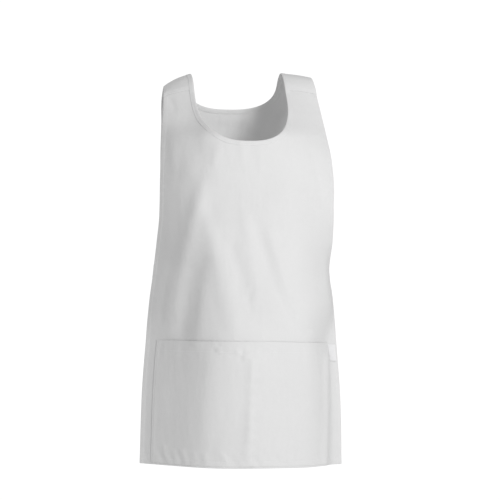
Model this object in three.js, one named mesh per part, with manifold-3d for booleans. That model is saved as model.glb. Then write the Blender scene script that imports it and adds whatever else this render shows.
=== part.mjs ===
// Cobbler apron: a front and a back panel joined over the shoulders, with open sides.
// Millimetres, +Z up, the front faces -Y. The origin is the middle of the shoulder rest,
// between the two straps, and the apron keeps the shape it has when it is worn.
import * as THREE from 'three';
import { mergeVertices } from 'three/addons/utils/BufferGeometryUtils.js';
import Module from 'manifold-3d';

const wasm = await Module();
wasm.setup();

// Named sizes
const DROP = 724; // shoulder rest to hem
const HALF = 190; // half of the hem's width as worn
const FRONT = 150; // how far the front stands forward of the shoulder rest
const BACK = 110; // how far the back stands behind it
const CREST = 9; // the straps' neck edge above the shoulder rest
const EDGE_FALL = 10; // unit of how far a strap's outer edge falls below its middle
const FOLD_RISE = 5; // unit of the height of the soft folds
const CLOTH = 1.2; // panel cloth
const GAP = 0.3; // clearance between pieces that touch
const STEP_EDGE = 0.6; // run of the step where a hem's extra layer starts

const NECK_HALF = 87; // neck opening, half its width
const NECK_SIDE = -3; // the opening hangs a little to the left
const NECK_FRONT = 128; // the front neckline's lowest point below the rest
const NECK_BACK = 58; // the back neckline's lowest point below the rest
const NECK_START = 36; // height below the rest where the front curve leaves the straps
const NECK_POWER = 2.6; // squareness of the U
const BINDING = 8; // width of the neck binding
const BINDING_CLOTH = 1.0;
const BINDING_GAP = 0.85; // clearance to the cloth's faces
const BINDING_EDGE = 1.2; // clearance to the cut edge

const SEAM_BELOW = 55; // shoulder seam to shoulder rest, measured along the strap
const SEAM_LAP = 10; // the back panel's strap ends lap over the front's
const LAP_RAMP = 14; // length in which the lap rises off the front strap
const LAP_LEAD = 12; // the binding starts to rise this far before the lap
const CREST_ROWS = 12; // rows of facets this far apart behind the crest

const SIDE_HEM = 9; // turned edge along the sides and armholes
const BOTTOM_HEM = 20;
const HEM_LAYER = 0.9; // extra thickness of a turned edge, on the inside
const HEM_FADE = 20; // the extra layer thins out over this length towards the seams

const POCKET_CLOTH = 1.2;
const POCKET_MARGIN = 25; // cloth left between pocket and side edge
const POCKET_DEEP = 232; // pocket mouth to hem, along the cloth
const POCKET_BAND = 21; // turned band at the pocket mouth
const POCKET_FOOT = 3; // the pocket ends this far above the apron's edge
const BAND_LAYER = 0.8; // extra thickness of the band, on the outside

const LABEL_WIDE = 19;
const LABEL_HIGH = 31;
const LABEL_CLOTH = 1.0;
const LABEL_BELOW = 3; // label's top below the pocket mouth

const TAB_WIDE = 25;
const TAB_CLOTH = 2;
const TAB_GAP = 1.1; // a straight tab clears the curved panels by this
const TAB_LEVEL = 366; // centre of the side tabs below the rest
const TAB_ON_FRONT = 14; // length sewn behind the front panel's edge
const TAB_ON_BACK = 42; // length that lies on the back panel
const SNAP_RADIUS = 6;
const SNAP_HIGH = 2.2;
const SNAP_GAP = 0.6; // the flat snap clears the curved tab by this

// Sections along the loop: front hem, up to the shoulder, down to the back hem.
// drop: share of DROP below the rest. left, right: half widths as shares of HALF.
// Depths are shares of FRONT ahead of the rest (negative) or of BACK behind it.
// fall: how far the left and right strap edges fall below the middle, shares of EDGE_FALL.
const SECTIONS = [
  // drop, left, leftDepth, right, rightDepth, midDepth, fallLeft, fallRight, form
  [1.0, 0.997, -0.2, 1.016, -0.24, -0.93, -0.3, 0.5, 'lower'],
  [0.838, 0.981, -0.22, 0.998, -0.28, -0.99, -0.2, 0.7, 'lower'],
  [0.683, 0.941, -0.23, 0.957, -0.28, -1.03, 0, 0.9, 'lower'],
  [0.579, 0.906, -0.24, 0.924, -0.253, -1.027, 0, 0, 'waist'],
  [0.505, 0.872, -0.273, 0.883, -0.28, -1.013, 0, 0, 'waist'],
  [0.425, 0.852, -0.4, 0.872, -0.533, -1.007, 0, 0, 'chest'],
  [0.362, 0.836, -0.47, 0.866, -0.625, -0.995, 0, 0, 'chest'],
  [0.298, 0.833, -0.493, 0.865, -0.653, -0.98, 0, 0, 'chest'],
  [0.221, 0.822, -0.465, 0.847, -0.612, -0.947, 0, 0, 'chest'],
  [0.166, 0.803, -0.4, 0.823, -0.507, -0.9, 0.2, 0.1, 'chest'],
  [0.108, 0.783, -0.32, 0.8, -0.36, -0.69, 0.5, 0.3, 'yoke'],
  [0.045, 0.763, -0.207, 0.774, -0.207, -0.39, 1.3, 0.7, 'yoke'],
  [0.0, 0.748, -0.1, 0.757, -0.1, -0.17, 2.6, 0.9, 'yoke'],
  [-0.012, 0.738, 0.0, 0.744, 0.0, 0.0, 2.9, 0.8, 'yoke'],
  [0.001, 0.732, 0.17, 0.738, 0.17, 0.24, 2.7, 0.9, 'yoke'],
  [0.038, 0.73, 0.33, 0.735, 0.33, 0.46, 2, 0.9, 'yoke'],
  [0.105, 0.722, 0.43, 0.727, 0.43, 0.73, 0.8, 0.5, 'back'],
  [0.19, 0.728, 0.45, 0.73, 0.45, 0.92, 0, 0, 'back'],
  [0.3, 0.735, 0.38, 0.735, 0.38, 1.0, 0, 0, 'back'],
  [0.41, 0.755, 0.28, 0.755, 0.28, 0.96, 0, 0, 'back'],
  [0.505, 0.785, 0.2, 0.785, 0.2, 0.87, 0, 0, 'back'],
  [0.62, 0.835, 0.18, 0.835, 0.18, 0.9, 0, 0, 'back'],
  [0.8, 0.9, 0.16, 0.9, 0.16, 0.98, 0, 0, 'back'],
  [1.0, 0.93, 0.15, 0.93, 0.15, 1.0, 0, 0, 'back'],
].map(([drop, left, leftDepth, right, rightDepth, midDepth, fallLeft, fallRight, form]) => ({
  drop: -drop * DROP,
  left: left * HALF,
  leftDepth: leftDepth * (leftDepth < 0 ? FRONT : BACK),
  right: right * HALF,
  rightDepth: rightDepth * (rightDepth < 0 ? FRONT : BACK),
  midDepth: midDepth * (midDepth < 0 ? FRONT : BACK),
  fallLeft: fallLeft * EDGE_FALL,
  fallRight: fallRight * EDGE_FALL,
  form,
}));
const REST = 13; // the section that lies on the shoulder rest

// How the cloth turns across each form.
// share: across the cloth, -1 left edge to 1 right edge. The rest: which way the cloth
// faces there, in degrees, 0 straight ahead, negative to the left.
const TURNS = [
  { share: -1.0, lower: -40, waist: -50, chest: -44, yoke: -18, back: -62 },
  { share: -0.92, lower: -49, waist: -52, chest: -46, yoke: -18, back: -58 },
  { share: -0.8, lower: -49, waist: -53, chest: -44, yoke: -16, back: -50 },
  { share: -0.6, lower: -49, waist: -48, chest: -34, yoke: -14, back: -38 },
  { share: -0.45, lower: -44, waist: -41, chest: -18, yoke: -11, back: -28 },
  { share: -0.3, lower: -28, waist: -24, chest: -7, yoke: -8, back: -18 },
  { share: -0.15, lower: -10, waist: -7, chest: -4, yoke: -4, back: -9 },
  { share: 0.0, lower: 0, waist: 0, chest: 0, yoke: 0, back: 0 },
  { share: 0.15, lower: 12, waist: 4, chest: 3, yoke: 4, back: 9 },
  { share: 0.3, lower: 16, waist: 13, chest: 12, yoke: 8, back: 18 },
  { share: 0.45, lower: 30, waist: 28, chest: 22, yoke: 11, back: 28 },
  { share: 0.6, lower: 50, waist: 40, chest: 30, yoke: 14, back: 38 },
  { share: 0.78, lower: 56, waist: 48, chest: 34, yoke: 16, back: 48 },
  { share: 0.86, lower: 54, waist: 60, chest: 36, yoke: 17, back: 53 },
  { share: 0.92, lower: 38, waist: 68, chest: 38, yoke: 18, back: 58 },
  { share: 1.0, lower: 26, waist: 78, chest: 42, yoke: 18, back: 62 },
];

// Folds of the front, seen from the front.
// from and to: across as shares of HALF, drop as shares of DROP. wide: share of HALF.
// rise: shares of FOLD_RISE, above zero a ridge, below zero a valley.
const FOLDS = [
  // acrossFrom, dropFrom, acrossTo, dropTo, wide, rise
  [-0.5, 0.33, -0.75, 0.62, 0.077, 0.5],
  [-0.36, 0.34, -0.49, 0.48, 0.077, -0.2],
  [-0.49, 0.48, -0.63, 0.67, 0.096, -0.6],
  [-0.43, 0.38, -0.34, 0.48, 0.077, 0.6],
  [-0.34, 0.48, -0.16, 0.66, 0.096, 0.5],
  [-0.22, 0.44, -0.1, 0.59, 0.057, -0.2],
  [-0.07, 0.36, 0.05, 0.56, 0.067, 0.4],
  [0.03, 0.38, 0.23, 0.54, 0.067, -0.4],
  [0.23, 0.54, 0.4, 0.64, 0.067, -0.4],
  [0.18, 0.41, 0.35, 0.57, 0.057, 0.4],
  [-0.61, 0.26, -0.16, 0.27, 0.067, 0.3],
  [0.48, 0.27, 0.82, 0.34, 0.077, -0.5],
  [-0.77, 0.48, -0.89, 0.65, 0.048, 0.2],
  [-0.68, 0.15, -0.76, 0.29, 0.067, 0.2],
  [-0.46, 0.2, -0.51, 0.29, 0.077, -0.3],
  [-0.9, 0.69, -0.3, 0.695, 0.08, -0.4],
  [-0.1, 0.695, 0.8, 0.7, 0.06, -0.2],
  [-0.38, 0.71, -0.46, 0.94, 0.096, 0.2],
  [-0.01, 0.72, -0.03, 0.95, 0.048, 0.2],
  [0.71, 0.72, 0.71, 0.94, 0.057, 0.5],
  [0.79, 0.735, 0.85, 0.93, 0.03, -0.6],
];
const FOLD_FADE = 0.06; // a fold's ends fade over this share of DROP

const SHARE_STEP = 0.004; // step across the cloth for slopes

const clamp = (x, low, high) => Math.min(high, Math.max(low, x));
const smooth = (x) => {
  const t = clamp(x, 0, 1);
  return t * t * (3 - 2 * t);
};
const mix = (a, b, t) => a + (b - a) * t;
const radians = (degrees) => (degrees * Math.PI) / 180;

// A smooth curve through the points (xs, ys), without overshoot.
function through(xs, ys) {
  const n = xs.length;
  const rise = xs.slice(1).map((x, i) => (ys[i + 1] - ys[i]) / (x - xs[i]));
  const slope = ys.map((_, i) => {
    if (i === 0 || i === n - 1) return rise[i === 0 ? 0 : n - 2];
    const [a, b] = [rise[i - 1], rise[i]];
    return a * b <= 0 ? 0 : (2 * a * b) / (a + b);
  });
  return (x) => {
    let i = 0;
    while (i < n - 2 && x > xs[i + 1]) i += 1;
    const w = xs[i + 1] - xs[i];
    const t = clamp((x - xs[i]) / w, 0, 1);
    const [t2, t3] = [t * t, t * t * t];
    return ys[i] * (2 * t3 - 3 * t2 + 1) + ys[i + 1] * (3 * t2 - 2 * t3)
      + slope[i] * w * (t3 - 2 * t2 + t) + slope[i + 1] * w * (t3 - t2);
  };
}

// The plan curve of a form: x from -1 to 1, bow 1 in the middle and 0 at the edges.
function planCurve(form) {
  const steps = 80;
  const turn = through(TURNS.map((row) => row.share), TURNS.map((row) => row[form]));
  const across = [];
  const x = [0];
  const y = [0];
  for (let i = 0; i <= steps; i += 1) across.push(-1 + (2 * i) / steps);
  for (let i = 1; i <= steps; i += 1) {
    const angle = radians(turn((across[i] + across[i - 1]) / 2));
    x.push(x[i - 1] + Math.cos(angle));
    y.push(y[i - 1] + Math.sin(angle));
  }
  const [midX, midY] = [x[steps / 2], y[steps / 2]];
  const ends = { low: 0, high: steps };
  const share = (values, mid, i) => {
    const end = i < steps / 2 ? values[ends.low] : values[ends.high];
    return (values[i] - mid) / (end - mid);
  };
  const width = across.map((_, i) => Math.sign(i - steps / 2) * share(x, midX, i));
  const bow = across.map((_, i) => 1 - share(y, midY, i));
  const fallPower = form === 'lower' ? 1.4 : 4; // straps fall near their edge only
  return { width: through(across, width), bow: through(across, bow), fallPower };
}
const FORMS = {};
for (const form of ['lower', 'waist', 'chest', 'yoke', 'back']) FORMS[form] = planCurve(form);

// Length along the loop at each section, measured in its side view.
const along = [0];
for (let i = 1; i < SECTIONS.length; i += 1) {
  const [a, b] = [SECTIONS[i - 1], SECTIONS[i]];
  const depth = (s) => (s.leftDepth + s.rightDepth) / 4 + s.midDepth / 2;
  along.push(along[i - 1] + Math.hypot(b.drop - a.drop, depth(b) - depth(a)));
}
const column = (name) => through(along, SECTIONS.map((s) => s[name]));
const track = Object.fromEntries(
  ['drop', 'left', 'leftDepth', 'right', 'rightDepth', 'midDepth', 'fallLeft', 'fallRight']
    .map((name) => [name, column(name)]),
);
const LOOP = along[along.length - 1];
const CREST_AT = along[REST];

// Point of the unfolded cloth surface: u across from -1 to 1, d along the loop.
function bare(u, d) {
  let k = 0;
  while (k < SECTIONS.length - 2 && d > along[k + 1]) k += 1;
  const t = smooth((d - along[k]) / (along[k + 1] - along[k]));
  const [a, b] = [FORMS[SECTIONS[k].form], FORMS[SECTIONS[k + 1].form]];
  const width = mix(a.width(u), b.width(u), t);
  const bow = mix(a.bow(u), b.bow(u), t);
  const left = u < 0;
  const half = track[left ? 'left' : 'right'](d);
  const edge = track[left ? 'leftDepth' : 'rightDepth'](d);
  const fall = track[left ? 'fallLeft' : 'fallRight'](d);
  return new THREE.Vector3(
    width * half,
    edge + (track.midDepth(d) - edge) * bow,
    track.drop(d) - fall * Math.abs(width) ** mix(a.fallPower, b.fallPower, t),
  );
}

function facing(point, u, d) {
  const step = 1e-3;
  const across = point(clamp(u + step, -1, 1), d).sub(point(clamp(u - step, -1, 1), d));
  const up = point(u, clamp(d + 1, 0, LOOP)).sub(point(u, clamp(d - 1, 0, LOOP)));
  return across.cross(up).normalize();
}

// Height of the folds at a point of the front.
function folds(p) {
  let height = 0;
  for (const [x0, z0, x1, z1, wide, rise] of FOLDS) {
    const [ax, az, bx, bz] = [x0 * HALF, -z0 * DROP, x1 * HALF, -z1 * DROP];
    const long = Math.hypot(bx - ax, bz - az);
    const [dx, dz] = [(bx - ax) / long, (bz - az) / long];
    const run = (p.x - ax) * dx + (p.z - az) * dz;
    const off = (p.x - ax) * dz - (p.z - az) * dx;
    const fade = FOLD_FADE * DROP;
    const ends = smooth(run / fade + 0.5) * smooth((long - run) / fade + 0.5);
    height += rise * FOLD_RISE * ends * Math.exp(-((off / (wide * HALF)) ** 2));
  }
  return height;
}

// Middle surface of the cloth, with its folds.
function cloth(u, d) {
  const p = bare(u, d);
  if (d > CREST_AT) return p;
  return p.addScaledVector(facing(bare, u, d), folds(p));
}

// A point `lift` outside the middle surface.
function lifted(u, d, lift) {
  return cloth(u, d).addScaledVector(facing(cloth, u, d), lift);
}

// Closed solids from grids
// The cloth in flat facets between the lines us and ds: gives the point at any (u, d).
function facets(us, ds) {
  const at = ds.map((d) => us.map((u) => cloth(u, d)));
  const out = ds.map((d) => us.map((u) => facing(cloth, u, d)));
  const cell = (values, x) => {
    let i = 0;
    while (i < values.length - 2 && x > values[i + 1]) i += 1;
    return [i, (x - values[i]) / (values[i + 1] - values[i])];
  };
  const blend = (grid, i, j, s, t) => {
    const [a, b, c, e] = [grid[j][i], grid[j][i + 1], grid[j + 1][i + 1], grid[j + 1][i]];
    const p = a.clone().multiplyScalar(1 - Math.max(s, t));
    if (s > t) p.addScaledVector(b, s - t);
    else p.addScaledVector(e, t - s);
    return p.addScaledVector(c, Math.min(s, t));
  };
  return (u, d, lift = 0) => {
    const [i, s] = cell(us, u);
    const [j, t] = cell(ds, d);
    return blend(at, i, j, s, t).addScaledVector(blend(out, i, j, s, t), lift);
  };
}

// Closed sheet over a grid of (u, d), between the lifts inner(u, d) and outer(u, d).
function sheet(us, ds, inner, outer, surface = lifted) {
  const [nu, nd] = [us.length, ds.length];
  const positions = [];
  for (const lift of [outer, inner]) {
    for (const d of ds) {
      for (const u of us) positions.push(...surface(u, d, lift(u, d)).toArray());
    }
  }
  const layer = nu * nd;
  const at = (i, j, side) => side * layer + j * nu + i;
  const faces = [];
  const quad = (a, b, c, e) => faces.push(a, b, c, a, c, e);
  for (let j = 0; j < nd - 1; j += 1) {
    for (let i = 0; i < nu - 1; i += 1) {
      const corners = [[i, j], [i + 1, j], [i + 1, j + 1], [i, j + 1]];
      const [a, b, c, e] = corners.map(([x, y]) => at(x, y, 0));
      quad(a, b, c, e);
      const [k, l, m, n] = corners.map(([x, y]) => at(x, y, 1));
      faces.push(k, m, l, k, n, m);
    }
  }
  for (let i = 0; i < nu - 1; i += 1) {
    quad(at(i, 0, 0), at(i, 0, 1), at(i + 1, 0, 1), at(i + 1, 0, 0));
    quad(at(i, nd - 1, 0), at(i + 1, nd - 1, 0), at(i + 1, nd - 1, 1), at(i, nd - 1, 1));
  }
  for (let j = 0; j < nd - 1; j += 1) {
    quad(at(0, j, 0), at(0, j + 1, 0), at(0, j + 1, 1), at(0, j, 1));
    quad(at(nu - 1, j, 0), at(nu - 1, j, 1), at(nu - 1, j + 1, 1), at(nu - 1, j + 1, 0));
  }
  return indexed(positions, faces);
}

function indexed(positions, faces) {
  const geometry = new THREE.BufferGeometry();
  geometry.setAttribute('position', new THREE.Float32BufferAttribute(positions, 3));
  geometry.setIndex(faces);
  return geometry;
}

// Evenly spaced values from low to high, with extra ones added, in order.
function spaced(low, high, parts, extra = []) {
  const values = [...extra];
  const apart = (high - low) / parts;
  for (let i = 0; i <= parts; i += 1) {
    const value = low + apart * i;
    if (i === 0 || i === parts || extra.every((e) => Math.abs(e - value) > apart * 0.35)) {
      values.push(value);
    }
  }
  return values.sort((a, b) => a - b);
}

// Boolean cuts
function toSolid(geometry) {
  const plain = geometry.clone();
  plain.deleteAttribute('normal');
  plain.deleteAttribute('uv');
  const merged = mergeVertices(plain, 1e-5);
  return new wasm.Manifold(new wasm.Mesh({
    numProp: 3,
    vertProperties: new Float32Array(merged.attributes.position.array),
    triVerts: new Uint32Array(merged.index.array),
  }));
}

function toGeometry(solid) {
  const mesh = solid.getMesh();
  return indexed(Array.from(mesh.vertProperties), Array.from(mesh.triVerts));
}

function cut(geometry, tool) {
  return toGeometry(toSolid(geometry).subtract(toSolid(tool)));
}

// Neckline
const FRONT_STEPS = 20;
const BACK_STEPS = 13;
// Half of the U in the front view, from the strap (share 0) to its lowest point (share 1).
function neckPoint(share, lowest, start) {
  const turn = (share * Math.PI) / 2;
  return {
    x: NECK_HALF * Math.cos(turn) ** (2 / NECK_POWER),
    z: -start - (lowest - start) * Math.sin(turn) ** (2 / NECK_POWER),
  };
}

function neckTool(lowest, start, y0, y1, steps) {
  const shape = new THREE.Shape();
  shape.moveTo(NECK_SIDE - NECK_HALF, CREST * 6);
  for (let i = 0; i <= steps; i += 1) {
    const p = neckPoint(i / steps, lowest, start);
    shape.lineTo(NECK_SIDE - p.x, p.z);
  }
  for (let i = steps - 1; i >= 0; i -= 1) {
    const p = neckPoint(i / steps, lowest, start);
    shape.lineTo(NECK_SIDE + p.x, p.z);
  }
  shape.lineTo(NECK_SIDE + NECK_HALF, CREST * 6);
  const tool = new THREE.ExtrudeGeometry(shape, { depth: y1 - y0, bevelEnabled: false });
  tool.rotateX(Math.PI / 2);
  tool.translate(0, y1, 0);
  return tool;
}
const NECK_BACK_START = 8;
const frontNeck = neckTool(NECK_FRONT, NECK_START, -2 * FRONT, 0.0, FRONT_STEPS);
const backNeck = neckTool(NECK_BACK, NECK_BACK_START, -0.5, 2 * BACK, BACK_STEPS);

// Panels
const FRONT_END = CREST_AT - SEAM_BELOW + SEAM_LAP;
const BACK_START = CREST_AT - SEAM_BELOW;
const lap = (d) => (CLOTH + GAP) * (1 - smooth((d - FRONT_END - 1) / LAP_RAMP));

// Length of cloth across the loop at d, per unit of u, on each side.
function reach(side, d) {
  const steps = 24;
  let length = 0;
  for (let i = 0; i < steps; i += 1) {
    length += bare((side * (i + 1)) / steps, d).distanceTo(bare((side * i) / steps, d));
  }
  return length;
}

const hemShare = SIDE_HEM / ((reach(-1, 0) + reach(1, 0)) / 2);
const stepShare = STEP_EDGE / ((reach(-1, 0) + reach(1, 0)) / 2);
const turned = (u, d, hemEnd, rising) => {
  const side = smooth((Math.abs(u) - (1 - hemShare)) / stepShare + 0.5);
  const bottom = smooth((rising ? hemEnd - d : d - hemEnd) / STEP_EDGE + 0.5);
  return HEM_LAYER * Math.max(side, bottom);
};
const sideSteps = [-1, 1].flatMap((side) => [
  side * (1 - hemShare - stepShare / 2), side * (1 - hemShare + stepShare / 2),
]);

const pocketEdge = 1 - POCKET_MARGIN / ((reach(-1, 0) + reach(1, 0)) / 2);
const bandAt = POCKET_DEEP - POCKET_BAND;
const bandSteps = [bandAt - STEP_EDGE / 2, bandAt + STEP_EDGE / 2];

const FRONT_COLUMNS = 26;
const FRONT_ROWS = 17;
const NECK_ROWS = 12; // closer rows where the cloth curves over the chest
const NECK_ROWS_LONG = 165;
const frontUs = spaced(-1, 1, FRONT_COLUMNS, [...sideSteps, -pocketEdge, pocketEdge]);
const neckRowsFrom = FRONT_END - NECK_ROWS_LONG;
const frontDs = [
  ...spaced(0, neckRowsFrom, FRONT_ROWS, [
    POCKET_FOOT, BOTTOM_HEM - STEP_EDGE / 2, BOTTOM_HEM + STEP_EDGE / 2, ...bandSteps,
    POCKET_DEEP,
  ]),
  ...spaced(neckRowsFrom, FRONT_END, NECK_ROWS).slice(1),
];
const frontPanel = sheet(
  frontUs,
  frontDs,
  (u, d) => -CLOTH / 2 - turned(u, d, BOTTOM_HEM, true) * smooth((FRONT_END - 1.5 * HEM_FADE - d) / HEM_FADE),
  () => CLOTH / 2,
);

const BACK_COLUMNS = 18;
const BACK_ROWS = 22;
const BACK_HEM_AT = LOOP - BOTTOM_HEM;
const backUs = spaced(-1, 1, BACK_COLUMNS, sideSteps);
const backDs = spaced(BACK_START, LOOP, BACK_ROWS, [
  FRONT_END + 1, FRONT_END + LAP_RAMP / 2, FRONT_END + LAP_RAMP + 1,
  CREST_AT, CREST_AT + CREST_ROWS, CREST_AT + 2 * CREST_ROWS, CREST_AT + 3.3 * CREST_ROWS,
  BACK_HEM_AT - STEP_EDGE / 2, BACK_HEM_AT + STEP_EDGE / 2,
]);
const backPanel = sheet(
  backUs,
  backDs,
  (u, d) => lap(d) - CLOTH / 2
    - turned(u, d, BACK_HEM_AT, false) * smooth((d - FRONT_END - LAP_RAMP - HEM_FADE / 2) / HEM_FADE),
  (u, d) => lap(d) + CLOTH / 2,
);
const frontFacets = facets(frontUs, frontDs);
const backFacets = facets(backUs, backDs);
// The faceted cloth of the whole loop: the front's facets up to its end, then the back's.
const wholeLoop = (u, d, lift) => (d < FRONT_END ? frontFacets : backFacets)(u, d, lift);

// Neck binding: a folded strip around the whole neck edge
// Finds (u, d) of the cloth point that is seen from the front at (x, z).
function locate(x, z, u, d) {
  let [cu, cd] = [u, d];
  for (let i = 0; i < 14; i += 1) {
    const p = wholeLoop(cu, cd);
    const du = wholeLoop(cu + SHARE_STEP, cd).sub(p).divideScalar(SHARE_STEP);
    const dd = wholeLoop(cu, cd + 1).sub(p);
    const det = du.x * dd.z - dd.x * du.z;
    const [ex, ez] = [x - p.x, z - p.z];
    cu = clamp(cu + (ex * dd.z - ez * dd.x) / det, -0.99, 0.99);
    cd = clamp(cd + (ez * du.x - ex * du.z) / det, 1, LOOP - 1);
  }
  return [cu, cd];
}

// Share across at which the strap's neck edge lies, at d.
function strapEdge(side, d) {
  let [low, high] = [0, 1];
  for (let i = 0; i < 30; i += 1) {
    const middle = (low + high) / 2;
    if (side * (wholeLoop(side * middle, d).x - NECK_SIDE) < NECK_HALF) low = middle;
    else high = middle;
  }
  return [side * low, d];
}

function neckLoop() {
  const loop = [];
  const strapParts = 12;
  const guess = (drop, front) => {
    let [low, high] = front ? [0, CREST_AT] : [LOOP, CREST_AT];
    for (let i = 0; i < 30; i += 1) {
      const middle = (low + high) / 2;
      if (bare(0.3, middle).z < drop) low = middle;
      else high = middle;
    }
    return low;
  };
  const curve = (lowest, start, front, from, to) => {
    const count = front ? FRONT_STEPS : BACK_STEPS;
    for (let i = 0; i <= 2 * count; i += 1) {
      const side = i < count ? from : to;
      const share = 1 - Math.abs(i - count) / count;
      const p = neckPoint(share, lowest, start);
      const u = (side * p.x) / (HALF * 0.9);
      loop.push(locate(NECK_SIDE + side * p.x, p.z, u, guess(p.z, front)));
    }
  };
  curve(NECK_FRONT, NECK_START, true, -1, 1);
  const frontTop = loop[loop.length - 1][1];
  const backTop = locate(
    NECK_SIDE + NECK_HALF, -NECK_BACK_START, 0.5, guess(-NECK_BACK_START, false),
  )[1];
  for (let i = 1; i < strapParts; i += 1) {
    loop.push(strapEdge(1, mix(frontTop, backTop, i / strapParts)));
  }
  curve(NECK_BACK, NECK_BACK_START, false, 1, -1);
  for (let i = 1; i < strapParts; i += 1) {
    loop.push(strapEdge(-1, mix(backTop, frontTop, i / strapParts)));
  }
  return loop;
}

function neckBinding() {
  const loop = neckLoop();
  const count = loop.length;
  const at = loop.map(([u, d]) => wholeLoop(u, d));
  const positions = [];
  const corners = 8;
  loop.forEach(([u, d], i) => {
    const p = at[i];
    const acrossCloth = cloth(u + SHARE_STEP / 2, d).sub(cloth(u - SHARE_STEP / 2, d))
      .divideScalar(SHARE_STEP);
    const alongCloth = cloth(u, d + 1).sub(cloth(u, d - 1)).multiplyScalar(0.5);
    const normal = acrossCloth.clone().cross(alongCloth).normalize();
    const tangent = at[(i + 1) % count].clone().sub(at[(i + count - 1) % count]).normalize();
    const inward = tangent.clone().cross(normal).normalize();
    const [uu, ud, dd] = [
      acrossCloth.dot(acrossCloth), acrossCloth.dot(alongCloth), alongCloth.dot(alongCloth),
    ];
    const [bu, bd] = [inward.dot(acrossCloth), inward.dot(alongCloth)];
    const det = uu * dd - ud * ud;
    const far = [
      u + (BINDING * (bu * dd - bd * ud)) / det,
      d + (BINDING * (bd * uu - bu * ud)) / det,
    ];
    const overAt = (x) => (CLOTH + GAP) * smooth((x - BACK_START + LAP_LEAD) / (LAP_LEAD * 0.7))
      * (1 - smooth((x - FRONT_END - LAP_LEAD / 2) / LAP_RAMP));
    const lip = (x) => CLOTH / 2 + BINDING_GAP + overAt(x);
    const low = -CLOTH / 2 - BINDING_GAP;
    const edge = (run, lift) => p.clone().addScaledVector(inward, run)
      .addScaledVector(normal, lift);
    const inner = (lift) => wholeLoop(far[0], far[1], lift);
    positions.push(
      ...inner(lip(far[1])).toArray(),
      ...edge(-BINDING_EDGE, lip(d)).toArray(),
      ...edge(-BINDING_EDGE, low).toArray(),
      ...inner(low).toArray(),
      ...inner(low - BINDING_CLOTH).toArray(),
      ...edge(-BINDING_EDGE - BINDING_CLOTH, low - BINDING_CLOTH).toArray(),
      ...edge(-BINDING_EDGE - BINDING_CLOTH, lip(d) + BINDING_CLOTH).toArray(),
      ...inner(lip(far[1]) + BINDING_CLOTH).toArray(),
    );
  });
  const faces = [];
  for (let i = 0; i < count; i += 1) {
    const [a, b] = [i * corners, ((i + 1) % count) * corners];
    for (let k = 0; k < corners; k += 1) {
      const next = (k + 1) % corners;
      faces.push(a + k, b + next, b + k, a + k, a + next, b + next);
    }
  }
  return indexed(positions, faces);
}

// Pocket
const pocketLift = CLOTH / 2 + GAP;
const pocket = sheet(
  frontUs.filter((u) => Math.abs(u) <= pocketEdge),
  frontDs.filter((d) => d >= POCKET_FOOT && d <= POCKET_DEEP),
  () => pocketLift,
  (u, d) => pocketLift + POCKET_CLOTH + BAND_LAYER * smooth((d - bandAt) / STEP_EDGE + 0.5),
);

const perMm = 1 / reach(1, POCKET_DEEP - LABEL_HIGH / 2);
const labelStart = pocketEdge + 2 * GAP * perMm;
const label = sheet(
  spaced(labelStart, labelStart + LABEL_WIDE * perMm, 3),
  spaced(POCKET_DEEP - LABEL_BELOW - LABEL_HIGH, POCKET_DEEP - LABEL_BELOW, 3),
  () => pocketLift,
  () => pocketLift + LABEL_CLOTH,
  frontFacets,
);

// Side tabs and snaps
// The tab runs from behind the front panel's edge to the outside of the back panel.
function atDrop(drop, front) {
  let [low, high] = front ? [0, CREST_AT] : [LOOP, CREST_AT];
  for (let i = 0; i < 40; i += 1) {
    const middle = (low + high) / 2;
    if (bare(1, middle).z < drop) low = middle;
    else high = middle;
  }
  return low;
}

// The tab's top or bottom edge, at a level below the rest.
function tabEdge(side, level) {
  const inside = -CLOTH / 2 - HEM_LAYER - TAB_GAP - TAB_CLOTH / 2;
  const outside = CLOTH / 2 + TAB_GAP + TAB_CLOTH / 2;
  const [frontAt, backAt] = [atDrop(-level, true), atDrop(-level, false)];
  const [front, back] = [reach(side, frontAt), reach(side, backAt)];
  const points = [];
  for (const share of [1, 0.5, 0]) {
    points.push(frontFacets(side * (1 - (TAB_ON_FRONT * share) / front), frontAt, inside));
  }
  const onBack = [0, 0.1, 0.25, 0.4, 0.55, 0.7, 0.85, 1].map((share) => (
    backFacets(side * (1 - (TAB_ON_BACK * share) / back), backAt, outside)
  ));
  points.push(onBack[0].clone().lerp(onBack[1], -1.5), ...onBack);
  points.forEach((p) => p.setZ(-level));
  return new THREE.CatmullRomCurve3(points, false, 'centripetal');
}

function tab(side) {
  const edges = [0.5, 0, -0.5].map((share) => tabEdge(side, TAB_LEVEL + share * TAB_WIDE));
  const parts = 18;
  const ring = 2 * edges.length;
  const positions = [];
  for (let i = 0; i <= parts; i += 1) {
    const line = edges.map((edge) => edge.getPoint(i / parts));
    const run = edges[0].getTangent(i / parts).add(edges[2].getTangent(i / parts));
    const out = run.cross(line[2].clone().sub(line[0])).normalize();
    const outer = line.map((p) => p.clone().addScaledVector(out, TAB_CLOTH / 2));
    const inner = line.map((p) => p.clone().addScaledVector(out, -TAB_CLOTH / 2));
    for (const p of [...outer, ...inner.reverse()]) positions.push(...p.toArray());
  }
  const faces = [];
  const cap = (start, flip) => {
    for (let k = 1; k < ring - 1; k += 1) {
      faces.push(start, start + k + (flip ? 1 : 0), start + k + (flip ? 0 : 1));
    }
  };
  cap(0, false);
  cap(parts * ring, true);
  for (let i = 0; i < parts; i += 1) {
    for (let k = 0; k < ring; k += 1) {
      const [a, b] = [i * ring + k, i * ring + ((k + 1) % ring)];
      faces.push(a, b + ring, b, a, a + ring, b + ring);
    }
  }
  return indexed(positions, faces);
}

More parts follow.
